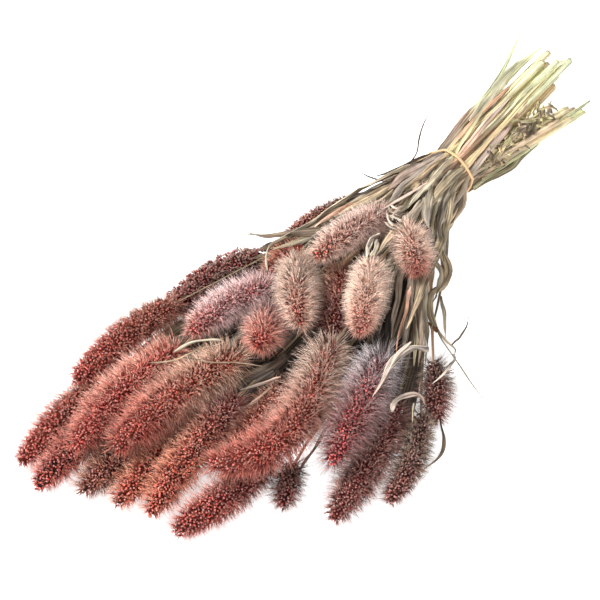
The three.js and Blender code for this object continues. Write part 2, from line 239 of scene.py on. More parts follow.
def piece(name, parts, finishes, replaced=None):
    """Joins parts into one smooth-shaded object that rides on the bunch."""
    points = np.vstack([p.points for p in parts])
    points[:, 2] = np.maximum(points[:, 2], FLOOR_CLEARANCE)
    starts = np.cumsum([0] + [len(p.points) for p in parts])
    blocks = [(faces + start, p.finish) for p, start in zip(parts, starts) for faces in p.faces]
    corners = np.concatenate([faces.ravel() for faces, _ in blocks])
    sizes = np.concatenate([np.full(len(faces), faces.shape[1]) for faces, _ in blocks])
    finish = np.concatenate([np.full(len(faces), number) for faces, number in blocks])

    mesh = bpy.data.meshes.new(name)
    mesh.vertices.add(len(points))
    mesh.vertices.foreach_set("co", (points * MM).ravel())
    mesh.loops.add(len(corners))
    mesh.loops.foreach_set("vertex_index", corners.astype(np.int32))
    mesh.polygons.add(len(sizes))
    mesh.polygons.foreach_set("loop_start", np.concatenate([[0], np.cumsum(sizes)[:-1]]).astype(np.int32))
    mesh.polygons.foreach_set("material_index", finish.astype(np.int32))
    mesh.polygons.foreach_set("use_smooth", np.ones(len(sizes), bool))
    colours = np.vstack([p.colours for p in parts])
    tint = mesh.color_attributes.new("tint", "FLOAT_COLOR", "POINT")
    tint.data.foreach_set("color", np.column_stack([colours, np.ones(len(colours))]).ravel())
    grain = mesh.attributes.new("grain", "FLOAT_VECTOR", "POINT")
    grain.data.foreach_set("vector", np.vstack([p.grain for p in parts]).ravel())
    mesh.update(calc_edges=True)
    mesh.validate()
    for material in finishes:
        mesh.materials.append(material)
    made = bpy.data.objects.new(name, mesh)
    bpy.context.scene.collection.objects.link(made)
    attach(made, "root")
    if replaced:
        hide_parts(replaced)
    return made


# %% Rings of points and skins over them
def circle(turns, side, up, flatness=1.0):
    """Directions all round each point of a line, from its side and up directions."""
    sideways = np.cos(turns)[None, :, None] * side[:, None]
    upwards = flatness * np.sin(turns)[None, :, None] * up[:, None]
    return sideways + upwards


def skin(rings, closed_ends=True):
    """Points and faces of a tube over rings, an array of shape (rings, points in a ring, 3)."""
    rows, around = rings.shape[:2]
    index = np.arange(rows * around).reshape(rows, around)
    turned = np.roll(index, -1, axis=1)
    quads = np.stack([index[:-1], turned[:-1], turned[1:], index[1:]], -1).reshape(-1, 4)
    points = rings.reshape(-1, 3)
    if not closed_ends:
        return points, [quads]
    ends = np.stack([rings[0].mean(0), rings[-1].mean(0)])
    first = np.stack([np.full(around, rows * around), turned[0], index[0]], -1)
    last = np.stack([np.full(around, rows * around + 1), index[-1], turned[-1]], -1)
    return np.vstack([points, ends]), [quads, first, last]


# %% [markdown]
# ## Colours and materials
#
# Every colour is written as an sRGB hex code, as a paint chart gives it, and turned into the linear numbers
# that a renderer adds up. Colours that change along a bristle, a stem or a leaf are stored on the mesh's
# points. The materials read them and add what is finer than the mesh: the veins of a leaf, the ribs of a
# straw.

# %% Colour and node helpers
def paint(code):
    """Linear red, green and blue of an sRGB hex code."""
    srgb = np.array([int(code[i:i + 2], 16) for i in (1, 3, 5)]) / 255
    return np.where(srgb <= 0.04045, srgb / 12.92, ((srgb + 0.055) / 1.055) ** 2.4)


def blend(first, second, share):
    """Colours between two, at shares from 0 to 1."""
    share = np.clip(np.asarray(share, float), 0, 1)[..., None]
    return first * (1 - share) + second * share


def add_node(tree, kind, inputs=None, **settings):
    """Adds a shader node, applies its settings, and sets or links its inputs."""
    node = tree.nodes.new("ShaderNode" + kind)
    for name, value in settings.items():
        setattr(node, name, value)
    for name, value in (inputs or {}).items():
        if isinstance(value, bpy.types.NodeSocket):
            tree.links.new(value, node.inputs[name])
        else:
            node.inputs[name].default_value = value
    return node


def new_material(name):
    """An empty node material: the material, its node tree and its output node."""
    material = bpy.data.materials.new(name)
    material.use_nodes = True
    material.node_tree.nodes.clear()
    return material, material.node_tree, add_node(material.node_tree, "OutputMaterial")


print("mid grey in linear light:", paint("#808080").round(3))

# %% [markdown]
# ### Grains, bristles and the rachis
#
# A millet grain is a hard husk the size of a pinhead. Dyed and dried it stays a little glossy, so each grain
# catches its own small highlight; on top of that, its outer end is painted lighter as a highlight and its
# root darker as shade. The bristles are stiff dry hairs, matt, red at the root and bleached at the tip. The
# rachis is the spike that carries them, which is hardly seen between the grains; it is painted dark as the
# shade there.

# %% Head materials
def tinted_material(name, roughness, specular, mottle_mm, mottle):
    """A material in the mesh's own colours, with soft darker and lighter patches of the given size."""
    material, tree, output = new_material(name)
    tint = add_node(tree, "Attribute", attribute_name="tint")
    place = add_node(tree, "TexCoord")
    patches = add_node(tree, "TexNoise", {
        "Vector": place.outputs["Object"], "Scale": 1 / (mottle_mm * MM), "Detail": 1.0})
    patchy = add_node(tree, "MapRange", {
        "Value": patches.outputs["Fac"], "From Min": 0.3, "From Max": 0.7,
        "To Min": 1 - mottle, "To Max": 1 + mottle})
    colour = add_node(
        tree, "VectorMath", {0: tint.outputs["Color"], 1: patchy.outputs["Result"]}, operation="MULTIPLY")
    surface = add_node(tree, "BsdfPrincipled", {
        "Base Color": colour.outputs["Vector"], "Roughness": roughness, "Specular IOR Level": specular})
    tree.links.new(surface.outputs["BSDF"], output.inputs["Surface"])
    return material


# Hard and waxy: each grain keeps a small sharp highlight.
dyed_husk = tinted_material("dyed millet husk", roughness=0.3, specular=0.7, mottle_mm=9, mottle=0.22)
# Stiff and dry: a fan of bristles scatters light and reads as a soft pale haze.
dry_bristle = tinted_material("dry bristle", roughness=0.6, specular=0.35, mottle_mm=12, mottle=0.12)
# Dry pith, matt. Its colour is painted dark as shade, which gives the depth between the grains.
dry_rachis = tinted_material("dry rachis", roughness=0.9, specular=0.2, mottle_mm=3, mottle=0.3)
print("head materials:", [m.name for m in (dyed_husk, dry_bristle, dry_rachis)])

# %% [markdown]
# ### Straw and dry leaves
#
# Straw is a smooth waxy tube with fine ribs along it; a grass leaf has veins along it and dries matt and
# mottled. Both patterns run lengthwise, so they are drawn in a coordinate that is stored on the mesh:
# millimetres across, millimetres along, and a number of its own for each stem or leaf. Ribs and veins lie
# about 0.4 mm apart, too fine to show from a metre away, so they are drawn at nearly three times that.

# %% Straw and leaf materials
VEIN_STEP = 7.0  # how far apart two blades or straws lie in the vein pattern
SPOT_WIDTH = 4  # of the dry spots, in millimetres
SPOT_LENGTH = 11.1
SPOT_STEP = 5.0  # how far apart they lie in the spot pattern


def veined_material(name, vein_mm, streak_mm, dark, roughness, bump_mm, spot_share):
    """A lengthwise-streaked material in the mesh's own colours, with darker dry spots."""
    material, tree, output = new_material(name)
    tint = add_node(tree, "Attribute", attribute_name="tint")
    grain = add_node(tree, "Attribute", attribute_name="grain")
    lengthwise = add_node(tree, "VectorMath", {
        0: grain.outputs["Vector"], 1: (1 / vein_mm, 1 / streak_mm, VEIN_STEP)}, operation="MULTIPLY")
    veins = add_node(tree, "TexNoise", {
        "Vector": lengthwise.outputs["Vector"], "Scale": 1.0, "Detail": 2.0})
    blotch = add_node(tree, "VectorMath", {
        0: grain.outputs["Vector"], 1: (1 / SPOT_WIDTH, 1 / SPOT_LENGTH, SPOT_STEP)}, operation="MULTIPLY")
    spots = add_node(tree, "TexNoise", {
        "Vector": blotch.outputs["Vector"], "Scale": 1.0, "Detail": 3.0})
    lines = add_node(tree, "MapRange", {
        "Value": veins.outputs["Fac"], "From Min": 0.36, "From Max": 0.62, "To Min": dark, "To Max": 1.3})
    dry = add_node(tree, "MapRange", {
        "Value": spots.outputs["Fac"], "From Min": 0.35, "From Max": 0.6,
        "To Min": 1 - spot_share, "To Max": 1.05})
    streaky = add_node(
        tree, "Math", {0: lines.outputs["Result"], 1: dry.outputs["Result"]}, operation="MULTIPLY")
    colour = add_node(
        tree, "VectorMath", {0: tint.outputs["Color"], 1: streaky.outputs["Value"]}, operation="MULTIPLY")
    ribs = add_node(tree, "Bump", {
        "Height": veins.outputs["Fac"], "Distance": bump_mm * MM, "Strength": 0.8})
    surface = add_node(tree, "BsdfPrincipled", {
        "Base Color": colour.outputs["Vector"], "Roughness": roughness, "Normal": ribs.outputs["Normal"]})
    tree.links.new(surface.outputs["BSDF"], output.inputs["Surface"])
    return material


# Waxy tube: light lines run along its ribs, with a soft shine.
straw = veined_material(
    "ribbed straw", vein_mm=1.1, streak_mm=60, dark=0.58, roughness=0.5, bump_mm=0.25, spot_share=0.2)
# Dry blade: matt, with strong veins and brown spots.
dry_leaf = veined_material(
    "dry grass leaf", vein_mm=1.1, streak_mm=40, dark=0.34, roughness=0.75, bump_mm=0.4, spot_share=0.36)
print("plant materials:", straw.name, "and", dry_leaf.name)

# %% [markdown]
# ## The heads
#
# A foxtail head is a spike set with little tufts, and each tuft is a knot of grains with bristles fanning
# out of it. The tufts follow a spiral, as leaves and seeds do, because each new one grows at the golden
# angle from the last. Building tuft by tuft gives the lumpy outline of the real heads, which an even
# scatter wouldn't.

# %% Small solids to scatter
HUSK_SIDES = 5
HUSK_BELT = 0.1  # height of its widest ring above its middle
BRISTLE_TAPER = 0.6


def husk():
    """A five-sided seed, pointed at both ends, which smooth shading rounds off."""
    order = np.arange(HUSK_SIDES)
    angles = order * TURN / HUSK_SIDES
    belt = np.column_stack([np.cos(angles), np.sin(angles), np.full(HUSK_SIDES, HUSK_BELT)])
    points = np.vstack([belt, [[0, 0, 1], [0, 0, -1]]])
    after = (order + 1) % HUSK_SIDES
    upper = np.column_stack([order, after, np.full(HUSK_SIDES, HUSK_SIDES)])
    lower = np.column_stack([after, order, np.full(HUSK_SIDES, HUSK_SIDES + 1)])
    return points, np.vstack([upper, lower])


def needle():
    """A bristle of length 1 along Z: an edge at its root and a shorter one across it at the tip."""
    points = np.array([(-1, 0, 0), (1, 0, 0), (0, -BRISTLE_TAPER, 1), (0, BRISTLE_TAPER, 1)])
    return points, np.array([(0, 1, 2), (1, 0, 3), (0, 2, 3), (2, 1, 3)])


GRAIN = husk()
BRISTLE = needle()
print("a grain has", len(GRAIN[1]), "faces and a bristle", len(BRISTLE[1]))


# %% Scattering
NEARLY_UPRIGHT = 0.9


def across(axis):
    """Two directions square to each axis and to each other."""
    other = np.where(np.abs(axis[:, 2:]) < NEARLY_UPRIGHT, UP, TOWARDS_CUT_ENDS)
    first = unit(np.cross(axis, other))
    return first, np.cross(axis, first)


def scattered(solid, places, axes, sizes):
    """Copies of a small solid, with its Z along the axes and its three sizes."""
    points, faces = solid
    first, second = across(axes)
    basis = np.stack([first, second, axes], 1)
    copies = np.einsum("vk,nk,nkc->nvc", points, sizes, basis) + places[:, None]
    offsets = np.arange(len(places))[:, None, None] * len(points)
    return copies, (faces[None] + offsets).reshape(-1, 3)


# %% Tufts on a head
GOLDEN_ANGLE = math.pi * (3 - math.sqrt(5))
TUFT_SPACING = 3.2
TUFT_RADIUS = 1.7
BRISTLE_LEAN = 0.32  # how far bristles lean towards the tip
TUFT_PLACES = (0.2, 0.8)  # where a tuft sits in its own stretch of the head
TURN_JITTER = 0.12
TUFT_DEPTHS = (0.86, 1.14)


def tufts_of(head, look, rng):
    """Where the tufts of a head are rooted, which way they point, and the share along the head."""
    step = head.length / (HEAD_STEPS - 1)
    area = np.cumsum(TURN * head.radius * step)
    count = int(area[-1] / (TUFT_SPACING * look.lump) ** 2)
    even = (np.arange(count) + rng.uniform(*TUFT_PLACES, count)) / count
    share = np.interp(even * area[-1], area, np.linspace(0, 1, HEAD_STEPS))
    turn = np.arange(count) * GOLDEN_ANGLE + rng.normal(0, TURN_JITTER, count)
    side, up = sample(head.side, share), sample(head.up, share)
    radial = np.cos(turn)[:, None] * side + np.sin(turn)[:, None] * up
    slope = sample(np.gradient(head.radius) / step, share)[:, None]
    along = sample(head.along, share)
    outward = unit(radial - slope * along)
    depth = look.core * rng.uniform(*TUFT_DEPTHS, count)
    roots = sample(head.points, share) + radial * (sample(head.radius, share) * depth)[:, None]
    return SimpleNamespace(roots=roots, axes=unit(outward + BRISTLE_LEAN * along), share=share)


print("from tuft to tuft:", round(math.degrees(GOLDEN_ANGLE), 1), "degrees")

# %% Grains of a head
GRAINS_IN_TUFT = 3
GRAIN_SIZE = np.array([0.76, 0.76, 1.05])  # half widths and half length
GRAIN_SIZES = (0.8, 1.15)
GRAIN_REACHES = (0.75, 1.15)
DOME_HEIGHT = 0.8  # of a tuft's radius, over which its grains spread
GRAIN_SHADES = (0.35, 1.65)  # dye varies from grain to grain
# Painted light on each grain: a lighter outer end as a highlight, a slightly darker belt and a dark root end
# as shade.
HUSK_PAINTED_HIGHLIGHT = paint("#ffd6ca")  # painted highlight: the colour towards which a grain's outer end is lightened
HIGHLIGHT_STRENGTHS = (0.1, 1.0)
OUTER_END_PAINTED_LIGHT = 1.4
BELT_PAINTED_SHADE = 0.85
INNER_END_PAINTED_SHADE = 0.3
HUSK_FINISH = 1  # its place in a head's list of materials


def ripeness(look, share):
    """How far the tip's shade has taken over from the base's, at shares along the head."""
    return np.clip((share - look.turn) / look.fade + 0.5, 0, 1)


def grains_of(tufts, look, rng):
    """A dome of grains on each tuft, with a painted highlight at the outer end and painted shade at the
    root.
    """
    count, in_tuft = len(tufts.roots), round(GRAINS_IN_TUFT * look.lump ** 2)
    order = np.arange(in_tuft)
    polar = np.arccos(1 - DOME_HEIGHT * (order + 0.5) / in_tuft)
    round_it = order * GOLDEN_ANGLE + rng.uniform(0, TURN, (count, 1))
    first, second = across(tufts.axes)
    ring = np.cos(round_it)[..., None] * first[:, None] + np.sin(round_it)[..., None] * second[:, None]
    away = np.cos(polar)[None, :, None] * tufts.axes[:, None] + np.sin(polar)[None, :, None] * ring
    reach = TUFT_RADIUS * look.lump * rng.uniform(*GRAIN_REACHES, away.shape[:2])
    places = tufts.roots[:, None] + away * reach[..., None]
    total = count * in_tuft
    sizes = GRAIN_SIZE * rng.uniform(*GRAIN_SIZES, (total, 1))
    points, faces = scattered(GRAIN, places.reshape(-1, 3), away.reshape(-1, 3), sizes)
    share = np.repeat(tufts.share, in_tuft)
    dye = rng.uniform(*GRAIN_SHADES, (total, 1))
    colours = blend(look.base.grain, look.tip.grain, ripeness(look, share)) * dye
    # painted highlight at the outer end, painted shade on the belt and at the root end
    painted_highlight = blend(colours * OUTER_END_PAINTED_LIGHT, HUSK_PAINTED_HIGHLIGHT, rng.uniform(*HIGHLIGHT_STRENGTHS, total))
    shades = np.stack([colours * BELT_PAINTED_SHADE] * HUSK_SIDES + [painted_highlight, colours * INNER_END_PAINTED_SHADE], 1)
    return part(points, [faces], shades.reshape(-1, 3), HUSK_FINISH)


print("a grain in mm:", (2 * GRAIN_SIZE).round(2))

# %% Bristles of a head
BRISTLES_IN_TUFT = 9
BRISTLE_HALF_WIDTH = 0.14  # drawn thicker than it is, to show from a metre away
BRISTLE_WIDTHS = (0.75, 1.2)
BRISTLE_LENGTH = 9.2
SHORTEST_BRISTLE = 0.5  # of that length
LENGTH_SPREAD = 0.7
MORE_SHORT_ONES = 1.3  # above 1, short bristles outnumber long ones
BRISTLE_SHORTENING = ([0, 0.6, 1], [1, 1, 0.65])  # towards the head's tip
BRISTLE_SPREAD = 0.28
BRISTLE_START = 1.2  # from the root of its tuft
BRISTLE_SHADES = (0.35, 1.55)
BLEACHED_TIPS = (0.3, 1.1)
RUBBED_SIDE = np.array([0.0, 0.87, 0.48])  # the side where handled heads have lost bristles
RUBBED_EDGE = 1.5  # how sharply the rubbed side ends
BRISTLE_FINISH = 2


def bristles_of(tufts, look, rng):
    """A fan of bristles out of each tuft, shorter towards the head's tip and where it is rubbed."""
    per_tuft = round(BRISTLES_IN_TUFT * look.density * look.lump ** 2)
    total = len(tufts.roots) * per_tuft
    axes = np.repeat(tufts.axes, per_tuft, axis=0)
    axes = unit(axes + rng.normal(0, BRISTLE_SPREAD, (total, 3)))
    share = np.repeat(tufts.share, per_tuft)
    length = SHORTEST_BRISTLE + LENGTH_SPREAD * rng.random(total) ** MORE_SHORT_ONES
    length = length * BRISTLE_LENGTH * look.length * np.interp(share, *BRISTLE_SHORTENING)
    length = length * (1 - look.rubbed * np.clip(RUBBED_EDGE * axes @ RUBBED_SIDE, 0, 1))
    roots = np.repeat(tufts.roots, per_tuft, axis=0) + axes * BRISTLE_START
    widths = np.full(total, BRISTLE_HALF_WIDTH) * rng.uniform(*BRISTLE_WIDTHS, total)
    points, faces = scattered(BRISTLE, roots, axes, np.column_stack([widths, widths, length]))
    bleaching = rng.uniform(*BRISTLE_SHADES, (total, 1))
    ripe = ripeness(look, share)
    root = blend(look.base.root, look.tip.root, ripe) * bleaching
    hair = blend(look.base.hair, look.tip.hair, ripe) * bleaching
    tip = blend(root, hair, rng.uniform(*BLEACHED_TIPS, total))
    colours = np.stack([root, root, tip, tip], 1).reshape(-1, 3)
    return part(points, [faces], colours, BRISTLE_FINISH)


longest = BRISTLE_LENGTH * (SHORTEST_BRISTLE + LENGTH_SPREAD)
print("longest bristle of a plain head:", round(longest, 1), "mm")

# %% The rachis
RACHIS_SIDES = 10
RACHIS_ROWS = slice(0, HEAD_STEPS, 3)
RACHIS_MARGIN = 0.06  # of the head's radius, by which it covers the roots of the tufts
# painted shade: the rachis is darkened far below the colour of its grains
RACHIS_PAINTED_SHADE = 0.18
RACHIS_FINISH = 0


def rachis_of(head, look):
    """The spike inside, as wide as the tufts are deep, painted dark as the shade between the grains."""
    turns = np.arange(RACHIS_SIDES) * TURN / RACHIS_SIDES
    radial = circle(turns, head.side[RACHIS_ROWS], head.up[RACHIS_ROWS])
    radius = head.radius[RACHIS_ROWS] * (look.core + RACHIS_MARGIN)
    points, faces = skin(head.points[RACHIS_ROWS, None] + radial * radius[:, None, None])
    return part(points, faces, look.base.grain * RACHIS_PAINTED_SHADE, RACHIS_FINISH)


# %% [markdown]
# The dye took differently on each head, and the sun has bleached the ones on top. Each head is given two
# shades, one for its base and one for its tip, out of a small chart. A shade has a colour for the grains,
# for the roots of the bristles and for their tips. The darkest, umber, and the darker bases of heads that
# lie low under others are partly painted shade: they are darker where other heads shade them.

# %% Shades of the heads
def shade(grain, root, hair):
    """A head's colours: of its grains, and of its bristles at root and tip."""
    return SimpleNamespace(grain=paint(grain), root=paint(root), hair=paint(hair))


SHADES = {
    "brick": shade("#c03a2e", "#bc4a3a", "#dca290"),
    "rust": shade("#a84634", "#9c503c", "#caa48e"),
    "orange": shade("#d4543a", "#cc624a", "#eab698"),
    "salmon": shade("#cc463a", "#d06a56", "#f2c6b2"),
    "maroon": shade("#943832", "#8a463c", "#bc9c90"),
    # partly painted shade: the base of low heads that lie under others
    "umber": shade("#582b24", "#48302a", "#866c5e"),
    "plum": shade("#9e3836", "#7c4a4a", "#c2bba6"),
    "crimson": shade("#d4343a", "#a24a48", "#b8a8a2"),
    "slate": shade("#a84648", "#9e888a", "#dcd8d8"),
    "mauve": shade("#b4463e", "#a26c66", "#d8beb6"),
    "lilac": shade("#cc7270", "#d09a96", "#f6e0dc"),
    "fawn": shade("#c85a42", "#b4846e", "#dccebe"),
    "cream": shade("#c85a40", "#cc8a6e", "#ecd6c0"),
    "pearl": shade("#e49c84", "#e6b8a2", "#fce6d4"),
    "ash": shade("#743e34", "#745a4e", "#b4a290"),
    "dusk": shade("#cc8872", "#cc9c8c", "#f4e0d4"),
    "blush": shade("#d8543e", "#dca48c", "#fce4d4"),
}


def head_look(base, tip, length=1.0, core=0.7, density=1.0, rubbed=0.0, lump=1.0, turn=0.5, fade=0.5):
    """A head's shades at its base and tip, the length and density of its bristles, the share of its radius
    where they are rooted, how far it is rubbed and how lumpy it is, and where and over what share of its
    length one shade turns into the other."""
    return SimpleNamespace(
        base=SHADES[base], tip=SHADES[tip], length=length, core=core, density=density, rubbed=rubbed,
        lump=lump, turn=turn, fade=fade)


# Umber at the base of heads 2, 3 and 8 is partly painted shade, where other heads lie over them.
LOOKS = {
    1: head_look("rust", "brick"),
    2: head_look("umber", "brick", length=1.05),
    3: head_look("umber", "rust", length=1.3, core=0.66, density=1.3),
    4: head_look("rust", "orange", length=1.1, core=0.66),
    5: head_look("maroon", "orange", length=1.1, core=0.66, turn=0.35),
    6: head_look("rust", "orange", length=0.9),
    7: head_look("maroon", "brick", length=0.95),
    8: head_look("umber", "maroon", length=0.9, core=0.58),
    9: head_look("maroon", "maroon", length=1.1, core=0.66),
    10: head_look("ash", "maroon", length=0.8, core=0.58, density=1.2, turn=0.7),
    11: head_look("ash", "maroon", core=0.66),
    12: head_look("plum", "maroon", length=1.5, core=0.68, density=1.2, rubbed=0.75, lump=1.8),
    13: head_look("ash", "rust", length=0.5, core=0.5),
    14: head_look("rust", "brick", length=1.05, core=0.72, rubbed=0.3),
    15: head_look("salmon", "brick", length=1.35, core=0.62, turn=0.62),
    16: head_look("cream", "brick", length=1.4, core=0.62, turn=0.48),
    17: head_look("fawn", "brick", length=1.5, core=0.6, turn=0.45),
    18: head_look("slate", "crimson", length=1.4, core=0.58, density=1.2, turn=0.35),
    19: head_look("rust", "maroon", length=1.1, core=0.64),
    20: head_look("orange", "maroon", length=0.9, core=0.64),
    21: head_look("lilac", "salmon", length=1.05, core=0.54, density=1.4, turn=0.85, fade=0.35),
    22: head_look("mauve", "salmon", length=1.2, core=0.56, density=1.3),
    23: head_look("fawn", "blush", length=1.15, core=0.52, density=2.0, turn=0.6),
    24: head_look("dusk", "blush", length=1.05, core=0.54, density=1.9, turn=0.75),
    25: head_look("pearl", "salmon", core=0.5, density=2.1, turn=0.85),
    26: head_look("pearl", "brick", length=1.05, core=0.5, density=2.1, turn=0.78, fade=0.4),
}
print("shades:", len(SHADES), "for", len(LOOKS), "heads")

# %% Make the heads
HEAD_FINISHES = [dry_rachis, dyed_husk, dry_bristle]
head_faces = 0
for number in NUMBERS:
    rng = np.random.default_rng(number)
    tufts = tufts_of(heads[number], LOOKS[number], rng)
    parts = [
        rachis_of(heads[number], LOOKS[number]),
        grains_of(tufts, LOOKS[number], rng),
        bristles_of(tufts, LOOKS[number], rng),
    ]
    made = piece(f"millet_head_{number:02d}", parts, HEAD_FINISHES, f"head_{number:02d}")
    head_faces += len(made.data.polygons)
print("heads:", HEAD_COUNT, "with", head_faces, "faces")

# %% [markdown]
# ## The stems
#
# A millet stem is a hollow straw, round to slightly flat, with a thicker joint every hand's width. It is
# pale yellow-green where it was freshly cut and turns tan, pink or grey-brown towards the heads. The tube
# is lofted over rings, and at the cut end the skin turns inwards, so that one can look into the straw. The
# inside of that hollow is painted darker, as shade.

# %% Stem colours
band_low, band_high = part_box("rubber_band")
BAND_X = (band_low.x + band_high.x) / 2 / MM
BAND_Y = (band_low.y + band_high.y) / 2 / MM
CUT_X = cad_box[1].x / MM
FRESH_FROM = BAND_X + 8  # where a straw starts to turn fresh towards its cut end
FRESH_SPAN = CUT_X - BAND_X - 45
OLD_SPAN = 90  # the other way, until it looks old
FRESH_STRAW = [paint(code) for code in ("#f4edc2", "#e8ecc2", "#f6e6ba", "#f2d6ae", "#e8e6b0")]
TIED_STRAW = [paint(code) for code in ("#e6b798", "#dcc69a", "#bba68e", "#e8d6a2", "#d6aa8e")]
OLD_STRAW = [paint(code) for code in ("#a08d70", "#8c7a60", "#ae8a6c", "#7c6c56")]


def straw_colours(points, rng):
    """Fresh at the cut end, weathered at the band, and old towards the heads."""
    fresh, tied, old = (chart[rng.integers(len(chart))] for chart in (FRESH_STRAW, TIED_STRAW, OLD_STRAW))
    x = points[..., 0]
    behind = blend(tied, fresh, (x - FRESH_FROM) / FRESH_SPAN)
    return np.where((x > BAND_X)[..., None], behind, blend(tied, old, (BAND_X - x) / OLD_SPAN))


print("straws turn fresh over", round(FRESH_SPAN), "mm and old over", OLD_SPAN, "mm")

# %% Make the stems
STEM_SIDES = 10
HOLLOW_DEPTH = 9
HOLLOW_SHARE = 0.62  # of the stem's radius
NECK_TAPER = ([0, 0.5, 0.85, 1], [1, 1, 0.65, 0.55])
NECK_TAPERS = {14: ([0, 0.45, 0.6, 1], [1, 1, 0.35, 0.25])}  # a withered neck
STEM_SLIMNESS = 0.88  # a straw shrinks as it dries
RIBS = 5
RIB_DEPTH = 0.1
FLATNESS = (0.65, 0.95)
JOINT_PLACES = (0.12, 0.8)
JOINT_SWELLING = 0.3
JOINT_LENGTH = 0.012  # of the stem's length
CUT_SLANT = 2.5
SLANT_SHARES = (0.3, 1)
CUT_ROUGHNESS = (0.7, 1.3)
INTO_HEAD = 6
HOLLOW_PAINTED_SHADE = 0.35
STEM_SEED = 100


def stem_parts(stem, number, rng):
    """A ribbed straw with joints, hollow at its cut end and running a little way into its head."""
    into_head = stem.points[-1] + unit(stem.points[-1] - stem.points[-2]) * INTO_HEAD
    line = np.vstack([stem.points, into_head])
    shares = shares_of(line)
    taper = np.interp(shares, *NECK_TAPERS.get(number, NECK_TAPER))
    radius = np.append(stem.radius, stem.radius[-1]) * taper
    along, side, up = directions(line, UP)
    joint = rng.uniform(*JOINT_PLACES)
    swelling = 1 + JOINT_SWELLING * np.exp(-((shares - joint) / JOINT_LENGTH) ** 2)
    turns = np.arange(STEM_SIDES) * TURN / STEM_SIDES
    ribs = STEM_SLIMNESS * (1 + RIB_DEPTH * np.cos(RIBS * turns))
    round_it = circle(turns, side, up, rng.uniform(*FLATNESS))
    outer = line[:, None] + round_it * (radius * swelling)[:, None, None] * ribs[None, :, None]
    slant = CUT_SLANT * rng.uniform(*SLANT_SHARES) * (1 + np.cos(turns + rng.uniform(0, TURN)))
    outer[0] += along[0] * slant[:, None] * rng.uniform(*CUT_ROUGHNESS, (STEM_SIDES, 1))
    rim = outer[0] + (line[0] - outer[0]) * (1 - HOLLOW_SHARE)
    floor = rim + along[0] * HOLLOW_DEPTH
    rings = np.concatenate([floor[None], rim[None], outer])
    points, faces = skin(rings)
    colours = straw_colours(points, rng)
    # painted shade: the inside of the cut end is darkened
    colours[:STEM_SIDES] *= HOLLOW_PAINTED_SHADE
    length = np.linalg.norm(np.diff(line, axis=0), axis=1).sum()
    run = np.concatenate([[HOLLOW_DEPTH, 0], shares * length])
    grain = np.broadcast_arrays(turns[None, :] * radius.mean(), run[:, None], float(number))
    grain = np.stack(grain, -1).reshape(-1, 3)
    grain = np.vstack([grain, grain[:1], grain[-1:]])
    return part(points, faces, colours, grain=grain)


for number in NUMBERS:
    rng = np.random.default_rng(STEM_SEED + number)
    parts = [stem_parts(stems[number], number, rng)]
    piece(f"straw_{number:02d}", parts, [straw], f"stem_{number:02d}")
print("stems:", HEAD_COUNT)

# %% [markdown]
# ## The leaves
#
# A grass leaf is a thin blade that curls and twists as it dries. A flat plane with a leaf picture on it
# would look like paper, so a blade here has two skins, an arched section that rolls up to a varying degree,
# a twist along its length and wavy edges. The CAD leaves give the larger ones their lines.

# %% A blade
BLADE_THICKNESS = 0.3
BLADE_ACROSS = np.linspace(-1, 1, 7)
BLADE_PROFILE = ([0, 0.15, 0.45, 0.8, 1.0], [0.55, 0.8, 1.0, 0.7, 0.06])
MIDRIB = len(BLADE_ACROSS) // 2
FOLD_DEPTH = 0.2  # of the half width, by which lengthwise folds rise and fall
FOLD_STATIONS = 4
ROCKING = 0.35  # in radians, to either side
ROCKS = (1, 2)  # to and fro along the blade
LEVEL_SHARE = 0.3  # of the length, where a twisted blade lies level
ROLL_CHANGE = 0.5
ROLLS = (1.2, 2.5)
FLATTEST_ROLL = 0.05
LONG_WAVE = 26  # lengths of the waves in its edges
SHORT_WAVE = 15
SHORT_WAVE_HEIGHT = 0.6
BLEACHING = (0.55, 1.3)
PATTERN_PLACES = 50  # blades lie at random places in the vein pattern


def wandering(rng, low, high, steps):
    """A random row of numbers across the blade that changes slowly along it."""
    stations = rng.uniform(low, high, (FOLD_STATIONS, len(BLADE_ACROSS)))
    return sample(stations, np.linspace(0, 1, steps))


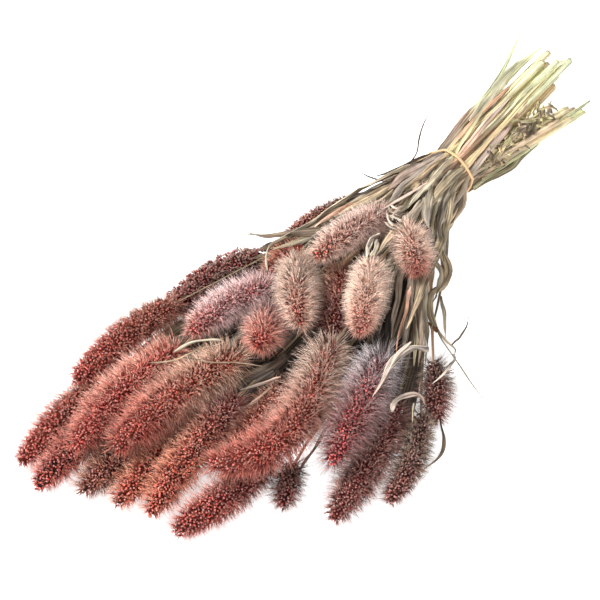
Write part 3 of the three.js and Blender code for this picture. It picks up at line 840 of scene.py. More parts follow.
def blade(route, half_width, facing, rng, colours, curl, twist, wave, profile, steps):
    """A dry leaf along a route: curl is the half angle that it rolls through, twist is in turns, and wave
    is how far its edges rise and fall."""
    line = smooth_line(route, steps)
    _, side, up = directions(line, facing)
    shares = np.linspace(0, 1, steps)
    length = np.linalg.norm(np.diff(line, axis=0), axis=1).sum()
    half = half_width * np.interp(shares, *profile)
    rocking = ROCKING * np.sin(TURN * (shares * rng.uniform(*ROCKS) + rng.random()))
    turning = TURN * twist * (shares - LEVEL_SHARE) + rocking
    side, up = (
        np.cos(turning)[:, None] * side + np.sin(turning)[:, None] * up,
        np.cos(turning)[:, None] * up - np.sin(turning)[:, None] * side,
    )
    roll = curl * (1 + ROLL_CHANGE * np.sin(TURN * (shares * rng.uniform(*ROLLS) + rng.random())))
    bend = roll[:, None] * BLADE_ACROSS[None]
    radius = (half / np.maximum(roll, FLATTEST_ROLL))[:, None]
    long_waves = np.sin(TURN * (shares * length / LONG_WAVE + rng.random()))[:, None]
    short_waves = np.sin(TURN * (shares * length / SHORT_WAVE + rng.random()))[:, None]
    waves = long_waves * BLADE_ACROSS ** 2 + SHORT_WAVE_HEIGHT * short_waves * BLADE_ACROSS ** 3
    folds = wandering(rng, -FOLD_DEPTH, FOLD_DEPTH, steps) * half[:, None]
    out = radius * (np.cos(bend) - 1) + wave * np.interp(shares, *profile)[:, None] * waves + folds
    sideways = (radius * np.sin(bend))[..., None] * side[:, None]
    sheet = line[:, None] + sideways + out[..., None] * up[:, None]
    under = sheet - BLADE_THICKNESS * up[:, None]
    rings = np.concatenate([sheet, under[:, ::-1]], axis=1)
    points, faces = skin(rings)
    first, last = colours
    bleached = wandering(rng, *BLEACHING, steps)
    bleached = np.concatenate([bleached, bleached[:, ::-1]], axis=1)
    tint = blend(first, last, shares)[:, None] * bleached[..., None]
    tint = np.vstack([tint.reshape(-1, 3), tint[:1, MIDRIB], tint[-1:, MIDRIB]])
    width = np.concatenate([BLADE_ACROSS, BLADE_ACROSS[::-1]])[None, :] * half_width
    grain = np.broadcast_arrays(width, (shares * length)[:, None], rng.uniform(0, PATTERN_PLACES))
    grain = np.stack(grain, -1).reshape(-1, 3)
    grain = np.vstack([grain, grain[:1], grain[-1:]])
    return part(points, faces, tint, grain=grain)


print("a blade is", BLADE_THICKNESS, "mm thick, with", 2 * len(BLADE_ACROSS), "points round it")

# %% Leaves with a CAD solid
LEAF_SHADES = {name: paint(code) for name, code in {
    "olive": "#b0a284", "grey": "#b0a294", "tan": "#cdb392", "pink": "#dfbfab", "dark": "#5c4e42",
    "umber": "#84705b", "pale": "#dacfb6", "green": "#e2e4b6", "salmon": "#e6ab8b", "blush": "#efdccb",
    "yellow": "#efe3a6", "peach": "#f2cfa6", "brown": "#7e5434",
}.items()}
FACING_LEAN = 0.025  # for each millimetre from the bunch's middle line
MOST_LEAN = 0.75


def leaf_facing(line):
    """Leaves face up, and lean outwards on either side of the bunch."""
    lean = np.clip((line[:, 1] - BAND_Y) * FACING_LEAN, -MOST_LEAN, MOST_LEAN)
    return unit(np.column_stack([np.zeros(len(line)), lean, np.ones(len(line))]))


LEAF_SEED = 200
LEAF_STEPS = 40
LEAF_SPREAD = 1.15  # a dry blade lies a little wider than its solid
LEAF_WAVE = 0.6
CUT_END_LEAF = 7  # the only one that grows towards the cut ends
FULL = ([0, 1], [1, 1])
# Where a blade is narrower than its solid: places along it, and the share of the width there.
LEAF_NARROWING = {
    3: ([0, 0.45, 0.7, 1], [1, 0.8, 0.26, 0.2]),
    6: ([0, 0.3, 0.7, 1], [0.3, 0.35, 0.6, 0.15]),
    7: ([0, 0.3, 0.6, 1], [0.6, 0.55, 0.85, 1]),
}
# Shades at the root and the tip, curl and twist.
LEAF_LOOKS = {
    1: ("umber", "olive", 0.6, 0.1),
    2: ("tan", "pale", 0.9, 0.3),
    3: ("grey", "olive", 0.8, 0.9),
    4: ("olive", "tan", 0.7, 0.3),
    5: ("grey", "blush", 0.8, 0.3),
    6: ("dark", "umber", 0.9, 0.3),
    7: ("green", "olive", 0.5, 0.1),
}
for number, (root, tip, curl, twist) in LEAF_LOOKS.items():
    rng = np.random.default_rng(LEAF_SEED + number)
    route, reach = line_of(f"leaf_{number:02d}")
    if route[0, 0] < route[-1, 0] and number != CUT_END_LEAF:
        route, reach = route[::-1], reach[::-1]
    facing = leaf_facing(smooth_line(route, LEAF_STEPS))
    shares = shares_of(route)
    profile = (shares, reach / reach.max() * np.interp(shares, *LEAF_NARROWING.get(number, FULL)))
    colours = (LEAF_SHADES[root], LEAF_SHADES[tip])
    made = blade(
        route, reach.max() * LEAF_SPREAD, facing, rng, colours, curl, twist, LEAF_WAVE, profile, LEAF_STEPS)
    piece(f"dry_leaf_{number:02d}", [made], [dry_leaf], f"leaf_{number:02d}")
print("leaves with a solid:", len(LEAF_LOOKS))

# %% [markdown]
# ## Leaves and sheaths along the stems
#
# Every stem still wears its dry sheath and leaf. There are too many to place by hand, and they all do the
# same thing: they lie along a stem, on the outside of the bundle, pinched under the band. So each one takes
# a stretch of a stem's own line and moves outwards from the middle of the bundle, except close to the band.

# %% Routes beside a stem
NOT_ZERO = 1e-6  # a stem in the very middle has a way out too
CLOSE_SIDE = ([-0.8, 0.0], [0.25, 1.0])  # leaves hug the stems on the bunch's right side
PINCH_SPAN = 32  # from the band, until a leaf lies free
PINCH_HOLD = 0.12
ROUTE_STEPS = 14


def bundle_middle(x):
    """The mean place of all stems at distances x along the bunch."""
    rows = []
    for stem in stems.values():
        from_head = stem.points[::-1]
        rows.append(np.column_stack([np.interp(x, from_head[:, 0], from_head[:, k]) for k in (1, 2)]))
    return np.mean(rows, axis=0)


def outward_from_bundle(line):
    """The direction away from the middle of the bundle at each point of a line."""
    offset = line[:, 1:] - bundle_middle(line[:, 0])
    return unit(np.column_stack([np.zeros(len(line)), offset]) + NOT_ZERO)


def along_stem(number, from_x, to_x, lift, sway, rng):
    """A route beside a stem between two places along the bunch, and the way it faces."""
    points = stems[number].points
    inside = points[(points[:, 0] <= max(from_x, to_x)) & (points[:, 0] >= min(from_x, to_x))]
    line = resampled(inside if from_x > to_x else inside[::-1], ROUTE_STEPS)
    out = outward_from_bundle(line)
    free = np.clip(np.abs(line[:, 0] - BAND_X) / PINCH_SPAN - PINCH_HOLD, 0, 1)[:, None]
    swaying = rng.normal(0, sway, (ROUTE_STEPS, 3)) * free
    close = np.interp(out[:, 1], *CLOSE_SIDE)[:, None]
    return line + out * lift * free * close + swaying, out


print("middle of the bundle at the band, in mm:", bundle_middle(np.array([BAND_X])).round(1)[0])

# %% Make the leaves along the stems
SHORTEST_LEAF = 25
NECK_ROOM = 5  # between a leaf's end and the head
BESIDE_STEPS = 30
OUTER_LIGHT = (0.8, 1.15)


def two_shades(names, rng, light):
    """Colours for a blade's root and tip out of a list of leaf shades, each made darker or lighter."""
    return [LEAF_SHADES[names[rng.integers(len(names))]] * rng.uniform(*light) for _ in range(2)]


def leaves_along(name, count, seed, starts, ends, lift, width, shades, curl, twist, sway, finish):
    """A set of blades, each along another stem. Starts and ends are ranges of places along the bunch."""
    rng = np.random.default_rng(seed)
    parts = []
    for _ in range(count):
        number = int(rng.integers(1, HEAD_COUNT + 1))
        start, stop = rng.uniform(*starts), rng.uniform(*ends)
        if stop < start:
            stop = max(stop, stems[number].points[:, 0].min() + NECK_ROOM)
        if abs(start - stop) < SHORTEST_LEAF:
            continue
        route, out = along_stem(number, start, stop, rng.uniform(*lift), sway, rng)
        colours = two_shades(shades, rng, OUTER_LIGHT)
        parts.append(blade(
            route, rng.uniform(*width), resampled(out, BESIDE_STEPS), rng, colours, rng.uniform(*curl),
            rng.uniform(*twist), LEAF_WAVE, BLADE_PROFILE, BESIDE_STEPS))
    made = piece(name, parts, [finish])
    print(name, len(parts), "blades,", len(made.data.polygons), "faces")


leaves_along(
    "outer_leaves", count=48, seed=301, starts=(100, 116), ends=(-50, 50), lift=(2.4, 5.0), width=(3.0, 5.2),
    shades=("olive", "tan", "grey", "pale", "tan", "pink"), curl=(0.3, 0.8),
    twist=(-0.2, 0.2), sway=1.1, finish=dry_leaf)
leaves_along(
    "cut_sheaths", count=34, seed=303, starts=(96, 112), ends=(150, 236), lift=(1.4, 2.6), width=(2.0, 3.4),
    shades=("peach", "pink", "grey", "pale", "green", "salmon", "yellow"), curl=(0.5, 1.1),
    twist=(-0.1, 0.1), sway=0.3, finish=straw)

# %% [markdown]
# ## Leaves between the stalks
#
# Deep in the fan, old leaves fill the room between the stalks. Little light gets there, and their colours
# are painted dark as that shade; they are seen only in the gaps. A random scatter would leave holes, so the
# stalks are sorted by their bearing from the band, and leaves are laid between each stalk and the next. The
# fan's edge
# on the right stays open: its outermost stalk has no leaves beside it, and the next only those nearer its
# neighbour.

# %% Make the inner leaves
STALK_STEPS = 40
BAND_ROOM = 6  # between the band and where a stalk's line starts
STALK_SHARE = 0.7  # of a head's length that the leaves beside it reach
# dark leaf colours, partly the leaves' own and partly painted shade deep in the fan
INNER_SHADES = ("dark", "umber", "dark", "grey")
INNER_PROFILE = ([0, 0.3, 0.55, 0.85, 1.0], [0.2, 0.35, 1.0, 0.8, 0.06])  # narrow where the stalks close up
TIED_OVER = ([0, 70], [0, 1])  # from loose to tied, along the bunch
LOOSE_HEIGHT = 0.6  # of the lower stalk's height
TIED_RISE = 0.35
MOST_SINK = 5
TIED_HOLD = 0.8  # the share of the sinking that a tied leaf is kept from
LOWEST_LEAF = 3
OPEN_SHARE = 0.45  # of the way to the neighbour that stays open at the fan's right edge
INNER_STARTS = (0, 0.3)
INNER_ENDS = (0.75, 1)
INNER_STRIDE = 4
# painted shade: the inner leaves' colours are darkened to between a third and three quarters
INNER_PAINTED_SHADE = (0.35, 0.75)
INNER_HALF_WIDTHS = (4.5, 7.5)
INNER_CURLS = (0.3, 0.9)
INNER_TWISTS = (-0.15, 0.15)
INNER_WAVE = 0.8
INNER_STEPS = 14


def stalk_line(number):
    """From the band to where the leaves beside the head end."""
    stem, head = stems[number].points, heads[number].points
    free_stem = stem[stem[:, 0] < BAND_X - BAND_ROOM]
    lower_head = head[:int(HEAD_STEPS * STALK_SHARE)]
    return resampled(np.vstack([free_stem, lower_head]), STALK_STEPS)


def bearing(line):
    """The direction of a stalk's outer half, seen from the band."""
    middle = line[len(line) // 2:].mean(0)
    return math.atan2(middle[1] - BAND_Y, BAND_X - middle[0])


def inner_leaves(seed, per_gap):
    """Blades between each stalk and the next two, low down where the bunch is loose."""
    rng = np.random.default_rng(seed)
    fan = sorted((stalk_line(number) for number in NUMBERS), key=bearing)
    parts = []
    for left, right in [pair for step in (1, 2) for pair in zip(fan, fan[step:])]:
        for share in (np.arange(per_gap) + rng.random(per_gap)) / per_gap:
            route = left * (1 - share) + right * share
            tied = np.interp(route[:, 0], *TIED_OVER)
            lower = np.minimum(left[:, 2], right[:, 2]) * (LOOSE_HEIGHT + TIED_RISE * tied)
            sinking = rng.uniform(0, MOST_SINK) * (1 - TIED_HOLD * tied)
            route[:, 2] = np.maximum(lower - sinking, LOWEST_LEAF)
            first = int(rng.uniform(*INNER_STARTS) * STALK_STEPS)
            last = int(rng.uniform(*INNER_ENDS) * STALK_STEPS)
            colours = two_shades(INNER_SHADES, rng, INNER_PAINTED_SHADE)
            made = blade(
                route[first:last:INNER_STRIDE], rng.uniform(*INNER_HALF_WIDTHS), UP, rng, colours,
                rng.uniform(*INNER_CURLS), rng.uniform(*INNER_TWISTS), INNER_WAVE, INNER_PROFILE,
                INNER_STEPS)
            if left is not fan[0] and (left is not fan[1] or share > OPEN_SHARE):
                parts.append(made)
    made = piece("inner_leaves", parts, [dry_leaf])
    print("inner leaves:", len(parts), "with", len(made.data.polygons), "faces")


inner_leaves(seed=302, per_gap=3)

# %% [markdown]
# ## Leaves laid one by one
#
# The leaves that the eye finds first get routes of their own: the straws and blades along the upper edge of
# the fan, the ones that hang down at its far side, curled strips over the heads, and broken tips that stick
# out. They lie a little above what carries them and start under the band or between other leaves.

# %% Routes of the leaves laid one by one
# A leaf is its shade at the root and at the tip, its half width, and the points that it follows.
TOWARDS_VIEWER = unit(np.array([-0.45, -0.35, 0.8]))
STRIP_PROFILE = ([0, 0.1, 0.5, 0.85, 1.0], [0.5, 0.9, 1.0, 0.75, 0.3])

EDGE_LEAVES = [
    ("pink", "salmon", 1.7, [
        (113, 35, 30), (100, 38, 32), (69, 40, 34), (45, 46, 36), (22, 49, 38), (3, 54, 39),
        (-12, 58, 38)]),
    ("tan", "olive", 2.4, [
        (113, 33, 32), (97, 35, 35), (60, 37, 38), (21, 41, 42), (2, 45, 42), (-13, 47, 42),
        (-35, 47, 40)]),
    ("tan", "olive", 3.8, [
        (113, 34, 31), (93, 36, 34), (50, 42, 36), (21, 49, 37), (4, 54, 36), (-9, 61, 34), (-22, 73, 32),
        (-29, 83, 31)]),
    ("olive", "umber", 3.6, [
        (47, 40, 36), (20, 47, 36), (2, 53, 33), (-12, 58, 30), (-24, 66, 28), (-33, 77, 27)]),
    ("dark", "umber", 2.0, [
        (62, 42, 36), (43, 45, 39), (29, 51, 40), (18, 54, 40), (7, 57, 40), (-3, 60, 37)]),
    ("salmon", "peach", 1.6, [(70, 40, 37), (47, 45, 38), (27, 51, 39), (9, 55, 39), (-4, 58, 36)]),
    ("peach", "tan", 4.2, [
        (113, 36, 30), (98, 39, 32), (78, 42, 34), (55, 45, 35), (33, 49, 36), (15, 54, 35), (0, 60, 33)]),
    ("tan", "pale", 3.4, [
        (98, 36, 34), (76, 39, 36), (56, 42, 37), (35, 46, 39), (17, 49, 41), (1, 55, 39), (-12, 63, 35)]),
    ("peach", "tan", 2.4, [
        (113, 34, 33), (101, 36, 34), (84, 40, 35), (66, 43, 36), (47, 47, 37), (32, 51, 38)]),
    ("grey", "olive", 3.4, [(47, 37, 37), (11, 43, 40), (-12, 48, 40), (-26, 56, 38), (-39, 65, 36)]),
    ("dark", "grey", 1.7, [(59, 41, 38), (39, 46, 40), (30, 51, 40), (19, 54, 40), (8, 54, 40)]),
    ("umber", "dark", 1.6, [
        (112, 36, 30), (100, 39, 34), (90, 41, 36), (75, 45, 38), (64, 49, 38), (57, 53, 38)]),
    ("umber", "dark", 1.5, [(95, 36, 36), (84, 39, 38), (76, 41, 39), (62, 45, 39), (48, 49, 39)]),
    ("umber", "umber", 3.2, [
        (19, 37, 43), (5, 39, 44), (-5, 43, 44), (-14, 49, 43), (-20, 58, 41), (-27, 68, 39), (-33, 77, 37),
        (-36, 86, 36)]),
    ("peach", "tan", 2.6, [
        (71, 37, 37), (49, 38, 39), (30, 42, 41), (14, 46, 43), (-1, 50, 43), (-12, 55, 41)]),
    ("tan", "umber", 2.2, [
        (75, 38, 36), (55, 40, 38), (36, 43, 40), (21, 48, 41), (8, 54, 41), (-9, 60, 38)]),
    ("tan", "grey", 2.8, [
        (51, 32, 42), (33, 32, 44), (17, 36, 46), (3, 40, 47), (-9, 44, 46), (-27, 51, 40)]),
    ("salmon", "pink", 1.1, [(23, 46, 43), (9, 48, 45), (-3, 50, 45), (-15, 52, 43)]),
    ("grey", "dark", 0.6, [(59, 39, 38), (57, 46, 38), (55, 56, 38), (55, 65, 38)]),
    ("dark", "dark", 0.7, [
        (80, 43, 37), (88, 43, 37), (97, 45, 37), (108, 51, 37), (123, 58, 37), (140, 63, 37)]),
]
FAN_LEAVES = [
    ("grey", "grey", 3.6, [(113, 26, 33), (100, 27, 38), (76, 26, 43), (54, 27, 46), (30, 23, 50)]),
    ("pink", "blush", 1.2, [(78, 17, 42), (68, 17, 44), (54, 18, 47), (25, 19, 54), (13, 19, 58)]),
    ("green", "pale", 1.6, [(113, 23, 36), (103, 22, 38), (89, 20, 42), (75, 17, 43)]),
    ("grey", "tan", 3.2, [(71, 15, 42), (53, 9, 45), (32, 5, 49), (14, 4, 52), (-3, 1, 54), (-20, -4, 58)]),
    ("olive", "grey", 4.2, [(85, 21, 42), (69, 14, 44), (51, 5, 47), (35, -5, 50), (25, -14, 52)]),
    ("tan", "grey", 2.8, [
        (58, 6, 28), (32, -1, 29), (11, -7, 30), (-5, -13, 30), (-21, -23, 31), (-39, -32, 34),
        (-55, -42, 38)]),
    ("pink", "salmon", 1.6, [
        (60, 2, 29), (28, -9, 31), (2, -19, 32), (-15, -27, 33), (-32, -36, 35), (-50, -44, 38),
        (-67, -54, 44)]),
    ("grey", "umber", 3.2, [
        (48, -3, 28), (9, -17, 30), (-14, -33, 32), (-29, -45, 34), (-43, -56, 35), (-60, -66, 32)]),
    ("grey", "olive", 2.6, [
        (48, -5, 27), (17, -17, 28), (-2, -30, 29), (-19, -42, 30), (-32, -53, 30), (-52, -66, 26)]),
    ("umber", "grey", 3.2, [(45, 6, 26), (4, -4, 26), (-13, -12, 26), (-32, -20, 27), (-50, -29, 28)]),
    ("olive", "tan", 3.8, [
        (113, 13, 30), (98, 12, 36), (80, 9, 41), (60, 6, 43), (45, 2, 44), (33, -2, 45)]),
    ("tan", "pale", 3.4, [
        (113, 20, 33), (98, 20, 39), (80, 17, 43), (62, 15, 46), (46, 13, 48), (35, 10, 50)]),
    ("grey", "olive", 3.2, [
        (44, -6, 31), (16, -17, 32), (-4, -29, 30), (-22, -39, 28), (-39, -50, 26), (-55, -60, 24)]),
    ("umber", "grey", 3.0, [
        (35, -6, 33), (5, -17, 34), (-17, -29, 32), (-35, -40, 31), (-51, -49, 30), (-64, -56, 29)]),
    ("grey", "pink", 4.4, [(113, 29, 33), (101, 30, 38), (81, 32, 42), (61, 33, 46), (42, 31, 49)]),
    ("peach", "tan", 2.0, [(113, 24, 34), (102, 25, 39), (86, 25, 43), (66, 24, 46), (48, 24, 49)]),
]
HANGING_LEAVES = [
    ("tan", "olive", 4.2, [
        (113, 10, 26), (100, 9, 31), (84, 7, 34), (64, 1, 35), (47, -8, 34), (36, -17, 31), (27, -26, 28)]),
    ("olive", "grey", 3.8, [(92, 9, 36), (72, 4, 37), (53, -4, 36), (40, -12, 33), (30, -20, 30)]),
    ("tan", "olive", 3.4, [(113, 10, 23), (98, 8, 28), (84, 6, 31), (66, 1, 33), (50, -6, 34)]),
    ("olive", "grey", 3.4, [
        (113, 12, 29), (99, 12, 34), (79, 7, 37), (59, 0, 37), (45, -8, 35), (37, -15, 32)]),
    ("pale", "olive", 3.2, [(96, 15, 37), (74, 9, 40), (54, 2, 41), (42, -5, 41), (33, -12, 40)]),
    ("tan", "olive", 3.0, [
        (44, -11, 34), (34, -20, 31), (24, -32, 27), (13, -35, 25), (4, -33, 24), (-5, -37, 22),
        (-12, -43, 20), (-16, -51, 17), (-19, -60, 14), (-19, -67, 12), (-25, -70, 11)]),
    ("olive", "grey", 2.4, [(25, -19, 30), (20, -28, 28), (13, -33, 26), (4, -36, 24), (-3, -38, 23)]),
    ("dark", "olive", 1.5, [(6, -39, 22), (-4, -48, 19), (-17, -58, 15)]),
    ("brown", "brown", 2.4, [(-17, -52, 17), (-16, -47, 18), (-15, -42, 19)]),
    ("dark", "dark", 0.8, [(-16, -62, 9), (-12, -63, 11), (-8, -64, 12), (1, -63, 14), (7, -60, 16)]),
    ("grey", "blush", 1.4, [
        (-22, -68, 11), (-24, -71, 11), (-32, -74, 16), (-47, -78, 25), (-65, -80, 31)]),
]
LOOSE_STRIPS = [
    ("blush", "grey", 0.9, [(25, 19, 54), (20, 12, 56), (20, 7, 56), (26, 7, 54)]),
    ("grey", "blush", 1.0, [(20, 16, 54), (12, 9, 57), (10, 3, 57), (15, 3, 55)]),
    ("blush", "blush", 0.8, [(27, 18, 54), (25, 12, 56), (31, 11, 54)]),
    ("pale", "grey", 0.9, [(17, 13, 55), (16, 6, 58), (16, 2, 57), (23, 5, 55)]),
    ("blush", "pale", 0.8, [(11, 11, 55), (7, 4, 57), (9, 0, 56)]),
    ("grey", "blush", 0.8, [(14, 8, 56), (20, 10, 57), (26, 9, 55)]),
    ("blush", "pale", 1.8, [(-3, 10, 54), (-14, 6, 56), (-23, 2, 57), (-26, -2, 56)]),
    ("grey", "pale", 1.9, [(-4, 6, 54), (-14, 1, 56), (-23, -1, 57)]),
    ("blush", "grey", 0.9, [(1, 8, 54), (-7, 9, 56), (-16, 6, 57)]),
    ("blush", "pink", 1.3, [(-57, -58, 47), (-75, -59, 50), (-93, -63, 50), (-107, -65, 48)]),
    ("blush", "pink", 1.9, [
        (-97, -73, 30), (-91, -71, 32), (-81, -75, 32), (-77, -79, 30), (-75, -82, 22)]),
    ("pale", "tan", 0.6, [(-79, -77, 24), (-85, -80, 23), (-91, -84, 22)]),
    ("pale", "pale", 1.0, [(-151, 51, 46), (-138, 47, 46), (-129, 39, 45), (-124, 35, 42), (-129, 39, 40)]),
    ("tan", "tan", 0.7, [(-167, 57, 46), (-156, 46, 46), (-143, 42, 45), (-132, 39, 42)]),
    ("umber", "tan", 0.6, [(-150, 41, 47), (-144, 26, 47), (-132, 17, 42), (-121, 7, 36)]),
    ("pink", "blush", 1.2, [(-113, -1, 24), (-126, 7, 24), (-136, 13, 24)]),
    ("umber", "pink", 1.3, [(-119, -1, 22), (-136, 2, 21), (-153, 7, 20)]),
    ("dark", "umber", 1.2, [(-128, -48, 26), (-138, -48, 20), (-149, -47, 14), (-158, -48, 9)]),
]
# Dark leaves low between the heads: partly real leaves, partly painted shade that fills gaps where the table
# would show.
SHADE_GAP_LEAVES = [
    ("dark", "dark", 6.0, [(-105, 44, 8), (-125, 45, 7), (-140, 46, 6), (-158, 47, 5)]),
    ("dark", "umber", 6.0, [(-76, 42, 10), (-95, 42, 9), (-112, 42, 8)]),
    ("dark", "dark", 6.0, [(-66, 4, 9), (-85, 0, 8), (-102, -2, 7)]),
    ("dark", "dark", 5.0, [(-118, 8, 8), (-135, 7, 7), (-152, 7, 6)]),
    ("dark", "umber", 6.0, [(-32, -31, 10), (-50, -36, 9), (-68, -40, 8)]),
    ("dark", "dark", 5.0, [(-132, 80, 7), (-150, 80, 6), (-168, 80, 6)]),
    ("dark", "umber", 8.0, [(-58, 62, 7), (-80, 68, 6), (-100, 73, 6), (-120, 77, 6), (-140, 80, 5)]),
    ("dark", "umber", 8.0, [(-68, 50, 7), (-90, 54, 6), (-110, 58, 6), (-132, 62, 5)]),
    ("dark", "umber", 5.0, [(-176, 61, 6), (-190, 62, 5), (-203, 62, 4), (-214, 61, 4), (-225, 59, 4)]),
    ("dark", "dark", 4.0, [(-82, 6, 8), (-90, 5, 7), (-97, 4, 6), (-106, 1, 6)]),
    ("dark", "dark", 6.0, [(-96, 29, 7), (-109, 30, 6), (-123, 31, 6), (-137, 32, 6), (-151, 33, 5)]),
    ("dark", "dark", 5.0, [(-155, 46, 6), (-171, 48, 6), (-187, 50, 6), (-203, 52, 5), (-213, 53, 5)]),
    ("dark", "dark", 4.5, [(-158, 41, 6), (-174, 42, 6), (-190, 43, 6), (-205, 46, 5)]),
    ("umber", "dark", 4.5, [(-102, 84, 6), (-118, 87, 6), (-133, 91, 6), (-148, 94, 5)]),
    ("dark", "dark", 4.5, [
        (-112, 5, 25), (-120, 8, 23), (-129, 12, 20), (-137, 15, 17), (-146, 19, 14), (-156, 22, 11)]),
    ("dark", "umber", 4.5, [(-10, 57, 29), (-19, 60, 27), (-28, 66, 26), (-37, 72, 25), (-44, 79, 23)]),
    ("dark", "umber", 4.0, [(-6, 60, 26), (-13, 64, 25), (-21, 70, 24), (-29, 77, 23), (-36, 83, 22)]),
    ("dark", "umber", 4.5, [
        (-98, 6, 26), (-112, 10, 24), (-123, 15, 22), (-134, 19, 19), (-145, 22, 16), (-154, 23, 13)]),
    ("umber", "olive", 4.0, [
        (-98, 70, 24), (-111, 75, 22), (-123, 79, 20), (-133, 83, 18), (-142, 85, 16), (-152, 88, 13)]),
    ("umber", "olive", 4.0, [
        (-92, 66, 22), (-106, 69, 20), (-117, 75, 18), (-129, 81, 16), (-143, 86, 14)]),
    ("dark", "umber", 4.0, [(-92, 72, 22), (-104, 74, 20), (-116, 80, 18), (-129, 86, 16)]),
    ("dark", "umber", 4.5, [(-108, 3, 21), (-122, 7, 19), (-133, 11, 17), (-147, 14, 15), (-156, 16, 13)]),
    ("dark", "umber", 5.0, [(-91, 46, 24), (-108, 56, 23), (-122, 65, 22), (-137, 73, 21), (-156, 77, 20)]),
    ("dark", "umber", 6.0, [(-96, 34, 26), (-114, 43, 25), (-130, 50, 23), (-151, 54, 21)]),
    ("dark", "dark", 6.0, [(-94, 25, 26), (-111, 29, 25), (-130, 29, 22), (-152, 30, 19)]),
    ("olive", "grey", 3.0, [(-83, 27, 34), (-97, 36, 33), (-108, 37, 32), (-120, 36, 30)]),
]
CUT_STRAWS = [
    ("umber", "olive", 4.2, [(108, 9, 13), (140, 7, 12), (170, 4, 12), (200, 0, 12)]),
    ("umber", "yellow", 3.6, [(108, 12, 18), (140, 10, 19), (170, 7, 21), (205, 4, 23)]),
    ("green", "green", 1.9, [
        (104, 31, 33), (114, 33, 34), (150, 37, 38), (186, 42, 37), (212, 48, 36), (236, 55, 37),
        (262, 63, 39)]),
    ("green", "green", 1.4, [(112, 6, 14), (140, 3, 14), (162, -1, 14), (188, -5, 14), (221, -13, 14)]),
    ("salmon", "blush", 2.3, [(96, 22, 38), (109, 21, 35), (122, 21, 37), (155, 23, 40), (184, 24, 40)]),
    ("pale", "green", 4.4, [(145, 32, 38), (170, 36, 38), (198, 40, 37), (225, 41, 37), (249, 39, 37)]),
    ("yellow", "pale", 1.6, [
        (96, 21, 40), (108, 22, 36), (120, 25, 38), (135, 27, 40), (168, 33, 40), (190, 37, 39)]),
    ("peach", "yellow", 1.9, [
        (98, 12, 32), (110, 12, 31), (145, 13, 36), (187, 15, 38), (216, 16, 38), (236, 17, 38)]),
    ("grey", "pink", 3.2, [(110, 9, 27), (130, 9, 32), (152, 10, 34), (172, 12, 34)]),
    ("umber", "pink", 2.6, [(106, 36, 31), (118, 36, 34), (134, 37, 37), (150, 39, 38), (168, 41, 38)]),
    ("grey", "tan", 2.0, [(104, 33, 34), (115, 33, 35), (130, 34, 38), (148, 36, 39), (165, 38, 39)]),
    ("yellow", "green", 1.9, [(148, 10, 15), (179, 8, 14), (206, 4, 14), (230, 0, 14)]),
    ("peach", "salmon", 1.7, [(98, 30, 36), (109, 30, 35), (124, 30, 38), (165, 31, 40), (200, 31, 40)]),
    ("umber", "tan", 4.2, [(112, 33, 32), (130, 33, 34), (150, 35, 35), (175, 38, 35), (195, 40, 35)]),
]
HAND_LAID = EDGE_LEAVES + FAN_LEAVES + HANGING_LEAVES + LOOSE_STRIPS + SHADE_GAP_LEAVES + CUT_STRAWS
print("leaves laid by hand:", len(HAND_LAID))

# %% Make the leaves laid one by one
HAND_LAID_STEPS = 32
HAND_LAID_WAVE = 0.25  # of the half width


def hand_laid(name, leaves, seed, curl, twist, finish=dry_leaf, profile=BLADE_PROFILE):
    """One piece out of a list of leaves laid one by one."""
    rng = np.random.default_rng(seed)
    parts = []
    for root, tip, half_width, route in leaves:
        colours = (LEAF_SHADES[root], LEAF_SHADES[tip])
        wave = HAND_LAID_WAVE * half_width
        parts.append(blade(
            route, half_width, TOWARDS_VIEWER, rng, colours, curl, twist, wave, profile, HAND_LAID_STEPS))
    made = piece(name, parts, [finish])
    print(name, len(parts), "blades,", len(made.data.polygons), "faces")


hand_laid("edge_leaves", EDGE_LEAVES, seed=401, curl=0.8, twist=0.1)
hand_laid("fan_leaves", FAN_LEAVES, seed=402, curl=0.7, twist=0.15)
hand_laid("hanging_leaves", HANGING_LEAVES, seed=403, curl=0.8, twist=0.35)
hand_laid("loose_strips", LOOSE_STRIPS, seed=404, curl=1.0, twist=0.3, profile=STRIP_PROFILE)
hand_laid("shade_gap_leaves", SHADE_GAP_LEAVES, seed=405, curl=0.5, twist=0.05)
hand_laid("cut_straws", CUT_STRAWS, seed=406, curl=0.5, twist=0.03, finish=straw)

# %% [markdown]
# Between the two groups of cut stems sits a clump of frayed leaf: short bits that broke off when the stems
# were cut. They point every way, so they are scattered along a line instead of being laid one by one.

# %% Make the frayed bits
FRAYED_FROM = np.array([122, 8, 22])
FRAYED_TO = np.array([203, 2, 28])
FRAYED_LOOSENESS = np.array([3.0, 3.0, 3.5])
FRAYED_SHADES = ("dark", "umber", "yellow", "olive", "peach", "yellow", "tan")
FRAYED_HALF_LENGTHS = (3.5, 8)
FRAYED_HALF_WIDTHS = (0.9, 2.1)
FRAYED_TURN = 0.5  # how far the bits point away from the stems' direction
FRAYED_SAG = 1.1
FRAYED_CURL = 0.7
FRAYED_TWIST = 0.25
FRAYED_WAVE = 0.3
FRAYED_STEPS = 6


